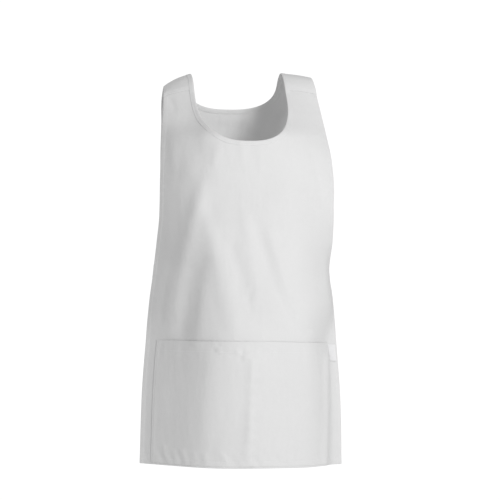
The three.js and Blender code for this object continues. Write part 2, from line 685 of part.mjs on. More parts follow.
function snap(side) {
  const backAt = atDrop(-TAB_LEVEL, false);
  const u = side * (1 - (TAB_ON_BACK * 0.7) / reach(side, backAt));
  const p = backFacets(u, backAt, CLOTH / 2 + TAB_GAP + TAB_CLOTH + SNAP_GAP);
  const n = facing(cloth, u, backAt);
  const geometry = new THREE.LatheGeometry([
    new THREE.Vector2(0, 0),
    new THREE.Vector2(SNAP_RADIUS, 0),
    new THREE.Vector2(SNAP_RADIUS, SNAP_HIGH * 0.4),
    new THREE.Vector2(SNAP_RADIUS * 0.8, SNAP_HIGH * 0.8),
    new THREE.Vector2(SNAP_RADIUS * 0.4, SNAP_HIGH),
    new THREE.Vector2(0, SNAP_HIGH),
  ], 14);
  geometry.applyQuaternion(
    new THREE.Quaternion().setFromUnitVectors(new THREE.Vector3(0, 1, 0), n),
  );
  geometry.translate(p.x, p.y, -TAB_LEVEL);
  return geometry;
}

// Scene
const apron = new THREE.Group();
apron.name = 'cobbler_apron';
const CLOTH_LOOK = { color: 0xf1f1f0, roughness: 0.85, metalness: 0 };
const LABEL_LOOK = { color: 0xf7f7f6, roughness: 0.6, metalness: 0 };
const SNAP_LOOK = { color: 0xc9cacc, roughness: 0.35, metalness: 1 };

function add(name, geometry, look) {
  const mesh = new THREE.Mesh(geometry, new THREE.MeshStandardMaterial(look));
  mesh.name = name;
  geometry.computeVertexNormals();
  apron.add(mesh);
}

add('front_panel', cut(frontPanel, frontNeck), CLOTH_LOOK);
add('back_panel', cut(cut(backPanel, frontNeck), backNeck), CLOTH_LOOK);
add('neck_binding', neckBinding(), CLOTH_LOOK);
add('pocket', pocket, CLOTH_LOOK);
add('pocket_label', label, LABEL_LOOK);
add('side_tab_left', tab(-1), CLOTH_LOOK);
add('side_tab_right', tab(1), CLOTH_LOOK);
add('snap_left', snap(-1), SNAP_LOOK);
add('snap_right', snap(1), SNAP_LOOK);

export default apron;
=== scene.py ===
# %% [markdown]
# # Dressing a cobbler apron
# The solids of the apron are already packed. This lesson loads them as a fixed frame, then
# gives each cloth piece its real surface: thin sheets with folds, turned hems, a bound neck
# and real stitches. Everything is in metres, in the same place as the solids.

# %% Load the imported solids
import math

import bpy
import numpy as np
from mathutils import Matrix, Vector


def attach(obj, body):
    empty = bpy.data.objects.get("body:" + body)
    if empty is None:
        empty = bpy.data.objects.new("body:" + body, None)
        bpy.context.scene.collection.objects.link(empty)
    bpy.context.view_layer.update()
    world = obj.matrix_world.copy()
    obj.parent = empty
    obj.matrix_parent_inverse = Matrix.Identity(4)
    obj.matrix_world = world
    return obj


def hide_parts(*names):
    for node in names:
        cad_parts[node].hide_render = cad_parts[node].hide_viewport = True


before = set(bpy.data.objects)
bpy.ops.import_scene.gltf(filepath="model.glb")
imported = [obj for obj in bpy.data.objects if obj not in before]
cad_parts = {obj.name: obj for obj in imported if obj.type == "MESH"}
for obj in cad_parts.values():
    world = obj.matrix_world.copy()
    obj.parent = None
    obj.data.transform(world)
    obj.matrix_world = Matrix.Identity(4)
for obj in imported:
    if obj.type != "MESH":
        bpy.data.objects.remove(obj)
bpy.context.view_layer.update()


def mode(name):
    bpy.ops.object.mode_set(mode=name)


def deselect():
    """Leaves edit mode and selects nothing, so that an operator acts on one piece only."""
    if bpy.context.object and bpy.context.object.mode != "OBJECT":
        mode("OBJECT")
    bpy.ops.object.select_all(action="DESELECT")


# %% [markdown]
# ## Camera
# A long lens from four metres away, level with the middle of the apron and 11 degrees to
# one side. A long lens keeps the outline almost free of perspective, as in a catalogue.

# %% Place the camera
TURN = math.radians(-11)
AWAY = 4.1
PIXEL = 0.001885  # metres that one pixel of the 500 pixel frame covers at the apron
AIM_X, AIM_Z = 0.0241, -0.3261

right = Vector((math.cos(TURN), math.sin(TURN), 0))
forward = Vector((-math.sin(TURN), math.cos(TURN), 0))
eye = right * AIM_X + Vector((0, 0, AIM_Z)) - forward * AWAY
lens = bpy.data.cameras.new("view")
lens.sensor_width = 36
lens.lens = 36 * AWAY / (500 * PIXEL)
lens.clip_end = 100
camera = bpy.data.objects.new("view", lens)
bpy.context.collection.objects.link(camera)
camera.location = eye
camera.rotation_mode = "QUATERNION"
camera.rotation_quaternion = forward.to_track_quat("-Z", "Y")
bpy.context.scene.camera = camera
bpy.context.scene.view_settings.view_transform = "Standard"
print("lens", round(lens.lens, 1), "mm")

# %% [markdown]
# ## Small mathematics
# The cloth is one surface that runs from the front hem up over the shoulders and down to the
# back hem. A point on it is named by u, from the left edge (-1) to the right edge (1), and d,
# the way along the loop in millimetres. The next cells repeat the sizes and tables that the
# solids were made from, so that the fine sheets land exactly on them.

# %% Sizes, in millimetres
DROP, HALF, FRONT, BACK = 724.0, 190.0, 150.0, 110.0
NECK_HALF, NECK_SIDE, NECK_FRONT, NECK_BACK = 87.0, -3.0, 128.0, 58.0
NECK_START, NECK_BACK_START, NECK_POWER = 36.0, 8.0, 2.6
SEAM_BELOW, SEAM_LAP, LAP_RAMP = 55.0, 10.0, 14.0
POCKET_MARGIN, POCKET_DEEP, POCKET_BAND, POCKET_FOOT = 25.0, 232.0, 21.0, 3.0
LABEL_WIDE, LABEL_HIGH, LABEL_BELOW = 19.0, 31.0, 3.0
TAB_WIDE, TAB_LEVEL, TAB_ON_FRONT, TAB_ON_BACK = 25.0, 366.0, 14.0, 42.0
CLOTH = 0.55  # one layer of poly-cotton, a little full so that its edge catches light
HEM_LAYER, HEM_RISE = 0.55, 0.22  # what a turned hem adds to the inner and the outer face
SIDE_HEM, BOTTOM_HEM = 9.0, 14.0
HEM_STITCH = BOTTOM_HEM - 2.1
LAP_GAP, SINK, BACK_SINK = 0.45, 0.2, 0.18  # air between layers, depth of a stitched line
HALF_CLOTH = 228.0  # of cloth from the middle to a side near the hem, to set a grid's pitch

SECTIONS = [
    # drop, left, left depth, right, right depth, middle depth, fall left, fall right, form
    (1.0, 0.997, -0.2, 1.016, -0.24, -0.93, -3, 5, "lower"),
    (0.838, 0.981, -0.22, 0.998, -0.28, -0.99, -2, 7, "lower"),
    (0.683, 0.941, -0.23, 0.957, -0.28, -1.03, 0, 9, "lower"),
    (0.579, 0.906, -0.24, 0.924, -0.253, -1.027, 0, 0, "waist"),
    (0.505, 0.872, -0.273, 0.883, -0.28, -1.013, 0, 0, "waist"),
    (0.425, 0.852, -0.4, 0.872, -0.533, -1.007, 0, 0, "chest"),
    (0.362, 0.836, -0.47, 0.866, -0.625, -0.995, 0, 0, "chest"),
    (0.298, 0.833, -0.493, 0.865, -0.653, -0.98, 0, 0, "chest"),
    (0.221, 0.822, -0.465, 0.847, -0.612, -0.947, 0, 0, "chest"),
    (0.166, 0.803, -0.4, 0.823, -0.507, -0.9, 2, 1, "chest"),
    (0.108, 0.783, -0.32, 0.8, -0.36, -0.69, 5, 3, "yoke"),
    (0.045, 0.763, -0.207, 0.774, -0.207, -0.39, 13, 7, "yoke"),
    (0.0, 0.748, -0.1, 0.757, -0.1, -0.17, 26, 9, "yoke"),
    (-0.012, 0.738, 0.0, 0.744, 0.0, 0.0, 29, 8, "yoke"),
    (0.001, 0.732, 0.17, 0.738, 0.17, 0.24, 27, 9, "yoke"),
    (0.038, 0.73, 0.33, 0.735, 0.33, 0.46, 20, 9, "yoke"),
    (0.105, 0.722, 0.43, 0.727, 0.43, 0.73, 8, 5, "back"),
    (0.19, 0.728, 0.45, 0.73, 0.45, 0.92, 0, 0, "back"),
    (0.3, 0.735, 0.38, 0.735, 0.38, 1.0, 0, 0, "back"),
    (0.41, 0.755, 0.28, 0.755, 0.28, 0.96, 0, 0, "back"),
    (0.505, 0.785, 0.2, 0.785, 0.2, 0.87, 0, 0, "back"),
    (0.62, 0.835, 0.18, 0.835, 0.18, 0.9, 0, 0, "back"),
    (0.8, 0.9, 0.16, 0.9, 0.16, 0.98, 0, 0, "back"),
    (1.0, 0.93, 0.15, 0.93, 0.15, 1.0, 0, 0, "back"),
]
REST = 13  # the section that lies on the shoulders
FORM_NAMES = ("lower", "waist", "chest", "yoke", "back")
TURNS = [
    # share across, then the way the cloth faces in each form, in degrees
    (-1.0, -40, -50, -44, -18, -62),
    (-0.92, -49, -52, -46, -18, -58),
    (-0.8, -49, -53, -44, -16, -50),
    (-0.6, -49, -48, -34, -14, -38),
    (-0.45, -44, -41, -18, -11, -28),
    (-0.3, -28, -24, -7, -8, -18),
    (-0.15, -10, -7, -4, -4, -9),
    (0.0, 0, 0, 0, 0, 0),
    (0.15, 12, 4, 3, 4, 9),
    (0.3, 16, 13, 12, 8, 18),
    (0.45, 30, 28, 22, 11, 28),
    (0.6, 50, 40, 30, 14, 38),
    (0.78, 56, 48, 34, 16, 48),
    (0.86, 54, 60, 36, 17, 53),
    (0.92, 38, 68, 38, 18, 58),
    (1.0, 26, 78, 42, 18, 62),
]
print(len(SECTIONS), "sections")


# %% Curves through tables
def smooth(x):
    t = np.clip(x, 0, 1)
    return t * t * (3 - 2 * t)


def unit(vectors):
    return vectors / np.maximum(np.linalg.norm(vectors, axis=-1, keepdims=True), 1e-12)


def run_along(points):
    """Distance of each point from the first, along their line."""
    steps = np.linalg.norm(np.diff(points, axis=0), axis=1)
    return np.concatenate([[0], np.cumsum(steps)])


def through(xs, ys):
    """A smooth curve through the points, without overshoot."""
    xs, ys = np.array(xs, float), np.array(ys, float)
    rise = np.diff(ys) / np.diff(xs)
    a, b = rise[:-1], rise[1:]
    both = np.where(a * b > 0, 2 * a * b / np.where(a + b == 0, 1, a + b), 0)
    slope = np.concatenate([rise[:1], both, rise[-1:]])

    def curve(x):
        x = np.asarray(x, float)
        i = np.clip(np.searchsorted(xs, x) - 1, 0, len(xs) - 2)
        w = xs[i + 1] - xs[i]
        t = np.clip((x - xs[i]) / w, 0, 1)
        t2, t3 = t * t, t * t * t
        return (
            ys[i] * (2 * t3 - 3 * t2 + 1)
            + ys[i + 1] * (3 * t2 - 2 * t3)
            + slope[i] * w * (t3 - 2 * t2 + t)
            + slope[i + 1] * w * (t3 - t2)
        )

    return curve


def plan_curve(column):
    """Width and bow of one form across the cloth, from the way the cloth faces."""
    steps = 80
    turn = through([row[0] for row in TURNS], [row[1 + column] for row in TURNS])
    across = np.linspace(-1, 1, steps + 1)
    angle = np.radians(turn((across[1:] + across[:-1]) / 2))
    x = np.concatenate([[0], np.cumsum(np.cos(angle))])
    y = np.concatenate([[0], np.cumsum(np.sin(angle))])
    mid = steps // 2
    first = np.arange(steps + 1) < mid
    x_end, y_end = np.where(first, x[0], x[-1]), np.where(first, y[0], y[-1])
    width = np.sign(np.arange(steps + 1) - mid) * (x - x[mid]) / (x_end - x[mid])
    bow = 1 - (y - y[mid]) / (y_end - y[mid])
    return through(across, width), through(across, bow)


FORMS = [plan_curve(i) for i in range(len(FORM_NAMES))]
FALL_POWER = np.array([1.4 if name == "lower" else 4.0 for name in FORM_NAMES])


# %% The bare cloth surface
def pairs(u, d):
    """Arrays of u and d of one shape."""
    return np.broadcast_arrays(np.asarray(u, float), np.asarray(d, float))


def in_mm(row):
    drop, left, left_y, right_, right_y, mid_y, fall_l, fall_r, _ = row
    depth = [y * (FRONT if y < 0 else BACK) for y in (left_y, right_y, mid_y)]
    return [-drop * DROP, left * HALF, depth[0], right_ * HALF, depth[1], depth[2], fall_l, fall_r]


rows = np.array([in_mm(row) for row in SECTIONS])
form_of = np.array([FORM_NAMES.index(row[-1]) for row in SECTIONS])
side_view = np.stack([rows[:, 0], (rows[:, 2] + rows[:, 4]) / 4 + rows[:, 5] / 2], 1)
along = run_along(side_view)
tracks = [through(along, rows[:, i]) for i in range(8)]
LOOP, CREST_AT = along[-1], along[REST]


def bare(u, d):
    """Points of the unfolded cloth, for arrays of u and d."""
    u, d = pairs(u, d)
    k = np.clip(np.searchsorted(along, d) - 1, 0, len(along) - 2)
    t = smooth((d - along[k]) / (along[k + 1] - along[k]))
    widths = np.stack([f[0](u) for f in FORMS])
    bows = np.stack([f[1](u) for f in FORMS])

    def blend(values):
        a = np.take_along_axis(values, form_of[k][None], 0)[0]
        b = np.take_along_axis(values, form_of[k + 1][None], 0)[0]
        return a + (b - a) * t

    width, bow = blend(widths), blend(bows)
    power = FALL_POWER[form_of[k]] * (1 - t) + FALL_POWER[form_of[k + 1]] * t
    drop, left, left_y, right_, right_y, mid_y, fall_l, fall_r = [f(d) for f in tracks]
    half = np.where(u < 0, left, right_)
    edge = np.where(u < 0, left_y, right_y)
    fall = np.where(u < 0, fall_l, fall_r)
    low = drop - fall * np.abs(width) ** power
    return np.stack([width * half, edge + (mid_y - edge) * bow, low], -1)


def facing(surface, u, d):
    """Outward normals of a surface, from its points a short way to each side."""
    step = 1e-3
    across = surface(np.clip(u + step, -1, 1), d) - surface(np.clip(u - step, -1, 1), d)
    up = surface(u, np.clip(d + 1, 0, LOOP)) - surface(u, np.clip(d - 1, 0, LOOP))
    return unit(np.cross(across, up))


print("loop", round(LOOP), "mm, crest at", round(CREST_AT))

# %% [markdown]
# ## Folds
# Soft folds are ridges and valleys along short lines of the front. Each row of the table is
# one fold: where it starts and ends, how wide it is and how high it stands. The first table is
# the solids' own, the second adds creases and puckers, and the third lets the back hang in
# soft folds. The sum of many small bell curves looks like cloth and is the same on each run.

# %% Fold tables and the folded cloth
FOLDS = [
    # across and drop at one end, across and drop at the other, width, rise in mm
    (-0.5, 0.33, -0.75, 0.62, 0.077, 2.5),
    (-0.36, 0.34, -0.49, 0.48, 0.077, -1),
    (-0.49, 0.48, -0.63, 0.67, 0.096, -3),
    (-0.43, 0.38, -0.34, 0.48, 0.077, 3),
    (-0.34, 0.48, -0.16, 0.66, 0.096, 2.5),
    (-0.22, 0.44, -0.1, 0.59, 0.057, -1),
    (-0.07, 0.36, 0.05, 0.56, 0.067, 2),
    (0.03, 0.38, 0.23, 0.54, 0.067, -2),
    (0.23, 0.54, 0.4, 0.64, 0.067, -2),
    (0.18, 0.41, 0.35, 0.57, 0.057, 2),
    (-0.61, 0.26, -0.16, 0.27, 0.067, 1.5),
    (0.48, 0.27, 0.82, 0.34, 0.077, -2.5),
    (-0.77, 0.48, -0.89, 0.65, 0.048, 1),
    (-0.68, 0.15, -0.76, 0.29, 0.067, 1),
    (-0.46, 0.2, -0.51, 0.29, 0.077, -1.5),
    (-0.9, 0.69, -0.3, 0.695, 0.08, -2),
    (-0.1, 0.695, 0.8, 0.7, 0.06, -1),
    (-0.38, 0.71, -0.46, 0.94, 0.096, 1),
    (-0.01, 0.72, -0.03, 0.95, 0.048, 1),
    (0.71, 0.72, 0.71, 0.94, 0.057, 0.8),
]
FADE = 0.06 * DROP
CREASES = [
    # across and drop at one end, across and drop at the other, width and rise in mm
    (-0.465, 0.275, -0.52, 0.36, 12.7, 1.6),  # where the chest turns to the side
    (-0.48, 0.29, -0.555, 0.42, 14.0, 0.9),
    (-0.5, 0.32, -0.6, 0.49, 15.0, 0.7),
    (-0.49, 0.36, -0.57, 0.5, 9.0, -1.0),  # between the two long folds on the left
    (-0.57, 0.5, -0.66, 0.67, 9.0, -1.1),
    (-0.44, 0.49, -0.52, 0.7, 11.0, 1.4),
    (-0.2, 0.43, -0.02, 0.6, 9.0, -1.2),
    (0.82, 0.723, 0.797, 1.01, 9.5, 4.0),  # the pocket's right end
    (-0.005, 0.706, -0.025, 0.967, 7.3, 1.0),  # along the pocket's middle seam
    (-0.03, 0.84, -0.05, 0.99, 13.0, 1.3),
    (-0.373, 0.680, -0.3, 0.71, 4.0, 0.9),  # puckers at the pocket's mouth
    (-0.323, 0.683, -0.368, 0.706, 4.0, -0.7),
    (-0.164, 0.703, -0.071, 0.72, 3.6, 0.9),
    (-0.089, 0.7, -0.128, 0.73, 3.6, -0.9),
    (-0.005, 0.703, -0.071, 0.726, 3.3, 0.8),
    (-0.745, 0.987, -0.788, 0.948, 4.4, 0.9),  # ripples above the hem
    (-0.667, 0.985, -0.704, 0.958, 4.0, 0.8),
    (-0.589, 0.985, -0.633, 0.955, 4.4, 1.0),
    (-0.505, 0.985, -0.539, 0.959, 4.0, 0.8),
    (-0.42, 0.986, -0.443, 0.959, 4.4, 0.9),
    (-0.23, 0.986, -0.277, 0.966, 4.0, 0.8),
    (0.395, 0.992, 0.357, 0.972, 4.0, 0.6),
    (-0.068, 0.584, 0.013, 0.538, 5.5, -0.8),  # over the pocket
    (0.553, 0.654, 0.435, 0.621, 6.4, 1.0),
    (0.708, 0.674, 0.603, 0.658, 5.5, 0.8),
    (-0.706, 0.06, -0.671, 0.093, 5.5, -1.0),  # below the straps
    (-0.779, 0.172, -0.747, 0.263, 7.5, -0.6),
    (-0.686, 0.162, -0.656, 0.247, 8.0, -0.45),
    (-0.54, 0.06, -0.53, 0.215, 26.0, -4.2),  # the left strap, beside the neck
    (-0.11, 0.172, -0.084, 0.224, 6.4, 0.7),
    (0.068, 0.188, 0.099, 0.254, 7.3, 0.8),
    (-0.318, 0.188, -0.359, 0.24, 7.3, 0.8),
    (0.63, 0.195, 0.725, 0.313, 8.2, -1.2),
]
CREASE_FADE = 2.0  # widths over which a crease runs out
BACK_FOLDS = [
    # as in the first table
    (-0.42, 0.17, -0.58, 0.5, 0.11, 3.0),
    (-0.29, 0.34, -0.39, 1.1, 0.10, 3.6),
    (-0.13, 0.2, -0.17, 0.6, 0.08, -2.2),
    (0.02, 0.45, 0.06, 1.1, 0.09, 3.0),
    (0.27, 0.19, 0.37, 0.63, 0.10, 3.2),
    (0.43, 0.5, 0.51, 1.1, 0.11, 3.8),
    (0.21, 0.56, 0.25, 1.1, 0.08, -2.6),
    (-0.6, 0.56, -0.7, 1.1, 0.10, -2.8),
    (-0.74, 0.51, -0.32, 0.56, 0.05, -1.8),
    (0.74, 0.51, 0.34, 0.57, 0.05, -1.8),
    (-0.3, 0.1, 0.28, 0.105, 0.06, -1.6),
]


def folds(p, back):
    height = np.zeros(p.shape[:-1])
    table = BACK_FOLDS if back else FOLDS
    table = [(*row[:4], row[4] * HALF, row[5], FADE) for row in table]
    table += [] if back else [(*row, row[4] * CREASE_FADE) for row in CREASES]
    for x0, z0, x1, z1, wide, rise, fade in table:
        ax, az, bx, bz = x0 * HALF, -z0 * DROP, x1 * HALF, -z1 * DROP
        long = math.hypot(bx - ax, bz - az)
        dx, dz = (bx - ax) / long, (bz - az) / long
        run = (p[..., 0] - ax) * dx + (p[..., 2] - az) * dz
        off = (p[..., 0] - ax) * dz - (p[..., 2] - az) * dx
        ends = smooth(run / fade + 0.5) * smooth((long - run) / fade + 0.5)
        height = height + rise * ends * np.exp(-((off / wide) ** 2))
    return height


def cloth(u, d):
    """The cloth's middle surface with its folds."""
    u, d = pairs(u, d)
    p = bare(u, d)
    lift = np.where(d > CREST_AT, folds(p, True), folds(p, False))
    return p + facing(bare, u, d) * lift[..., None]


REACH_AT = np.linspace(0, LOOP, 90)


def reach_curve(side):
    """Length of cloth from the middle to one edge, along the loop."""
    line = bare(side * np.linspace(0, 1, 33)[None, :], REACH_AT[:, None])
    return np.linalg.norm(np.diff(line, axis=1), axis=-1).sum(1)


REACH = {side: through(REACH_AT, reach_curve(side)) for side in (-1, 1)}


def reach(U, D):
    """The same for each point's own side."""
    return np.where(U < 0, REACH[-1](D), REACH[1](D))


print("half width of cloth at the hem", round(float(REACH[1](0))), "mm")


# %% [markdown]
# ## Closed sheets
# Cloth has two faces and a soft edge. One function makes any such sheet from a grid: the
# outer face, the inner face, and a rim whose middle stands out a little so that it is round.
# A hem is made by moving the inner face in where the cloth is turned.

# %% Sheet maker
def make_object(name, points_mm, faces, uvs=None):
    mesh = bpy.data.meshes.new(name)
    faces = [list(map(int, face)) for face in faces]
    mesh.from_pydata((np.asarray(points_mm) / 1000).tolist(), [], faces)
    if uvs is not None:
        layer = mesh.uv_layers.new(name="cloth")
        corner = np.zeros(len(mesh.loops), np.int32)
        mesh.loops.foreach_get("vertex_index", corner)
        layer.data.foreach_set("uv", np.asarray(uvs, np.float32)[corner].ravel())
    mesh.polygons.foreach_set("use_smooth", np.ones(len(mesh.polygons), bool))
    mesh.update()
    piece = bpy.data.objects.new(name, mesh)
    bpy.context.collection.objects.link(piece)
    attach(piece, "root")
    return piece


def grid_quads(shape):
    """Numbers of a grid's points, and the four corners of each of its cells."""
    index = np.arange(shape[0] * shape[1]).reshape(shape)
    quads = np.stack([index[:-1, :-1], index[:-1, 1:], index[1:, 1:], index[1:, :-1]], -1)
    return index, quads.reshape(-1, 4)


def sheet(name, U, D, outer, inner, keep=None):
    """Closed sheet over the grids U and D. outer and inner are lifts from the surface."""
    at, out = cloth(U, D), facing(cloth, U, D)
    top, low = at + out * outer[..., None], at + out * inner[..., None]
    quads = grid_quads(U.shape)[1]
    if keep is not None:
        quads = quads[keep.ravel()[quads].any(1)]
    count = U.size
    edges = np.concatenate([quads[:, [i, (i + 1) % 4]] for i in range(4)])
    known = {(int(a), int(b)) for a, b in edges}
    rim = [(a, b) for a, b in known if (b, a) not in known]
    flat_top, flat_low, flat_out = top.reshape(-1, 3), low.reshape(-1, 3), out.reshape(-1, 3)
    push = {}
    for a, b in rim:
        way = unit(np.cross(flat_top[b] - flat_top[a], flat_out[a]))
        for v in (a, b):
            push[v] = push.get(v, 0) + way
    middle, number = [], {}
    for v, way in push.items():
        thick = np.linalg.norm(flat_top[v] - flat_low[v])
        number[v] = 2 * count + len(middle)
        middle.append((flat_top[v] + flat_low[v]) / 2 + unit(way) * thick * 0.45)
    faces = [*quads.tolist(), *(quads[:, ::-1] + count).tolist()]
    for a, b in rim:
        faces.append([b, a, number[a], number[b]])
        faces.append([number[b], number[a], a + count, b + count])
    steps = np.linalg.norm(np.diff(at, axis=1), axis=-1)
    run = np.concatenate([np.zeros((len(U), 1)), np.cumsum(steps, 1)], 1)
    zero = np.array([np.interp(0, *pair) for pair in zip(U, run)])
    uv = np.stack([run - zero[:, None], D], -1).reshape(-1, 2) / 1000
    uvs = np.concatenate([uv, uv, np.array([uv[v] for v in push])])
    points = np.concatenate([flat_top, flat_low, np.array(middle)])
    used = np.unique(np.concatenate([np.asarray(f).ravel() for f in faces]))
    renumber = np.full(len(points), -1)
    renumber[used] = np.arange(len(used))
    faces = [renumber[face] for face in faces]
    return make_object(name, points[used], faces, uvs[used])


def lines(low, high, pitch, marks=()):
    """Values from low to high, about pitch apart, that include all the marks."""
    even = np.linspace(low, high, max(2, int(round((high - low) / pitch)) + 1))
    marks = np.array([m for m in marks if low <= m <= high])
    if len(marks):
        near = np.abs(even[:, None] - marks[None]).min(1) < pitch * 0.45
        near[[0, -1]] = False
        even = even[~near]
    return np.unique(np.round(np.concatenate([even, marks]), 4))


EDGE_MARKS = np.array((0, 0.9, 2.5, 4.6, 6.2, 6.9, 7.6, 8.4, 9.2, 11, 14))


def columns(ds, pitch):
    """Grids of u and d whose outer columns keep their distance from the cloth's edge."""
    inner_u = lines(-1, 1, pitch / HALF_CLOTH)[1:-1]
    grid_u = []
    for d in ds:
        left_u = -1 + EDGE_MARKS / REACH[-1](d)
        right_u = (1 - EDGE_MARKS / REACH[1](d))[::-1]
        middle = np.where(inner_u < 0, inner_u * -left_u[-1], inner_u * right_u[0])
        grid_u.append(np.concatenate([left_u, middle, right_u]))
    grid_u = np.array(grid_u)
    return grid_u, np.repeat(np.asarray(ds)[:, None], grid_u.shape[1], 1)


def from_edge(U, D):
    """Distance from the nearer side edge, in mm of cloth."""
    return (1 - np.abs(U)) * reach(U, D)


# %% [markdown]
# ## Neckline
# The neck opening is a squarish U in front and a shallow scoop behind. The grid's points that
# fall just inside it are moved onto its line, so the cloth ends there; the binding hides the
# uneven cells.

# %% Neck test and snap
def neck_inside(p, d):
    """Above zero where a point of the surface lies inside the neck opening."""
    front = d < CREST_AT
    start = np.where(front, NECK_START, NECK_BACK_START)
    lowest = np.where(front, NECK_FRONT, NECK_BACK)
    x = np.abs(p[..., 0] - NECK_SIDE) / NECK_HALF
    z = np.clip((-start - p[..., 2]) / (lowest - start), 0, None)
    return 1 - x**NECK_POWER - z**NECK_POWER


def snap_to_neck(U, D):
    """Moves the first grid points inside the opening onto its line. Gives a mask to keep."""
    outside = neck_inside(cloth(U, D), D) <= 0
    near_u, near_d = np.full(U.shape, np.nan), np.full(U.shape, np.nan)
    padded = np.pad(outside, 1)
    wide_u, wide_d = np.pad(U, 1), np.pad(D, 1)
    for dj, di in ((0, -1), (0, 1), (-1, 0), (1, 0), (-1, -1), (-1, 1), (1, -1), (1, 1)):
        part = (slice(1 + dj, 1 + dj + U.shape[0]), slice(1 + di, 1 + di + U.shape[1]))
        use = ~outside & np.isnan(near_u) & padded[part]
        near_u[use], near_d[use] = wide_u[part][use], wide_d[part][use]
    move = ~np.isnan(near_u)
    a, b = np.stack([U[move], D[move]]), np.stack([near_u[move], near_d[move]])
    low, high = np.zeros(a.shape[1]), np.ones(a.shape[1])
    for _ in range(16):
        t = (low + high) / 2
        q = a + (b - a) * t
        still = neck_inside(cloth(q[0], q[1]), q[1]) > 0
        low, high = np.where(still, t, low), np.where(still, high, t)
    U, D = U.copy(), D.copy()
    U[move], D[move] = a + (b - a) * high
    return U, D, outside


# %% [markdown]
# ## Front panel
# On the real apron the front is one piece of cloth: it narrows from the hem to the chest and
# ends in two straps, which are seamed to the back just in front of the shoulders. Its sides
# are turned once more and stitched, so they are a little thicker and stay straight. The grid
# has close lines where a hem ends, so that its small step shows as on real cloth.

# %% Make the front
FRONT_END = CREST_AT - SEAM_BELOW + SEAM_LAP
BACK_START = CREST_AT - SEAM_BELOW
STITCH_IN = 7.6  # side stitching, in from the edge
PITCH = 3.6


def hem_relief(U, D, from_hem):
    """One where the sides and the bottom have the hem's layers, zero elsewhere."""
    side = 1 - smooth((from_edge(U, D) - (SIDE_HEM - 1.2)) / 1.6)
    bottom = 1 - smooth((from_hem - (BOTTOM_HEM - 0.8)) / 1.6)
    return np.maximum(side, bottom)


def dimple(distance, at, wide=0.9):
    return np.exp(-(((distance - at) / wide) ** 2))


def ripple(U, D):
    """Small puckers along the stitched edges, from a few waves of unrelated lengths."""
    edge = from_edge(U, D)
    near = smooth((edge + 1) / 4) * (1 - smooth((edge - 9) / 9))
    side = np.where(U < 0, 1.7, 0.3)
    wave = np.sin(D / 3.9 + side) * np.sin(D / 17.3 + 2 * side) + 0.6 * np.sin(D / 2.3 - side)
    return 0.16 * near * wave


def hem_pucker(U, D, size):
    """Leaning ripples above the bottom hem, where its stitches draw the cloth in."""
    height = smooth(D / 5) * (1 - smooth((D - 16) / 30))
    lean = U * reach(U, D) + 0.55 * D
    wave = np.sin(lean / 3.3) * (0.6 + 0.4 * np.sin(lean / 23.1 + 1))
    return size * height * (wave + 0.5 * np.sin(lean / 5.9 + 2))


FRONT_PUCKER, BACK_PUCKER, POCKET_PUCKER = 0.22, 0.18, 0.26
bottom_marks = (0, 0.9, 2.5, 5, 8.5, 11.2, 11.9, 12.6, 13.3, 14, 14.8, 17, POCKET_DEEP)
front_d = lines(0, FRONT_END, PITCH, bottom_marks)
U, D = columns(front_d, PITCH)
U, D, keep = snap_to_neck(U, D)
relief = hem_relief(U, D, D)
stitch = dimple(from_edge(U, D), STITCH_IN) + dimple(D, HEM_STITCH)
bumps = ripple(U, D) + hem_pucker(U, D, FRONT_PUCKER)
outer = CLOTH / 2 + HEM_RISE * relief - SINK * np.clip(stitch, 0, 1) + bumps
inner = -CLOTH / 2 - HEM_LAYER * relief + bumps
front_panel = sheet("front", U, D, outer, inner, keep=keep)
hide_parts("front_panel")


# %% [markdown]
# ## Back panel
# The back is cut like the front with a shallower neck. Its straps come over the shoulders and
# lap the front's by a centimetre, outside, where two rows of stitches join them.

# %% Make the back
def lap_lift(d):
    """How far the outer face rises where the back lies over the front."""
    run_in = smooth((d - BACK_START + 8) / 8)
    return (CLOTH + LAP_GAP) * run_in * (1 - smooth((d - FRONT_END - 1) / LAP_RAMP))


BACK_PITCH = PITCH * 1.25
back_d = lines(BACK_START, LOOP, BACK_PITCH, (
    BACK_START + 1, BACK_START + 3, FRONT_END, CREST_AT, LOOP - 14.8, LOOP - 14, LOOP - 13.2,
    LOOP - 11.9, LOOP - 9, LOOP - 5, LOOP - 2, LOOP - 0.8,
))
U, D = columns(back_d, BACK_PITCH)
U, D, keep = snap_to_neck(U, D)
relief = hem_relief(U, D, LOOP - D)
lap = lap_lift(D)
stitch = dimple(from_edge(U, D), STITCH_IN) + dimple(LOOP - D, HEM_STITCH)
stitch += dimple(D, BACK_START + 2)
bumps = ripple(U, D) + hem_pucker(U, LOOP - D, BACK_PUCKER)
outer = lap + CLOTH / 2 + HEM_RISE * relief - BACK_SINK * np.clip(stitch, 0, 1) + bumps
inner = lap - CLOTH / 2 - HEM_LAYER * relief * smooth((D - FRONT_END - LAP_RAMP) / 20) + bumps
back_panel = sheet("back", U, D, outer, inner, keep=keep)
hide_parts("back_panel")

# %% [markdown]
# ## Neck binding
# A bias strip is folded over the cut neck edge and stitched through all layers. It is swept
# here along the neck line: at each station a small folded section stands across the line.

# %% Neck line in the cloth
def neck_side_u(side, d):
    """Share across at which the strap's neck edge lies."""
    low, high = np.zeros_like(d), np.ones_like(d)
    for _ in range(30):
        middle = (low + high) / 2
        less = side * (cloth(side * middle, d)[..., 0] - NECK_SIDE) < NECK_HALF
        low, high = np.where(less, middle, low), np.where(less, high, middle)
    return side * low


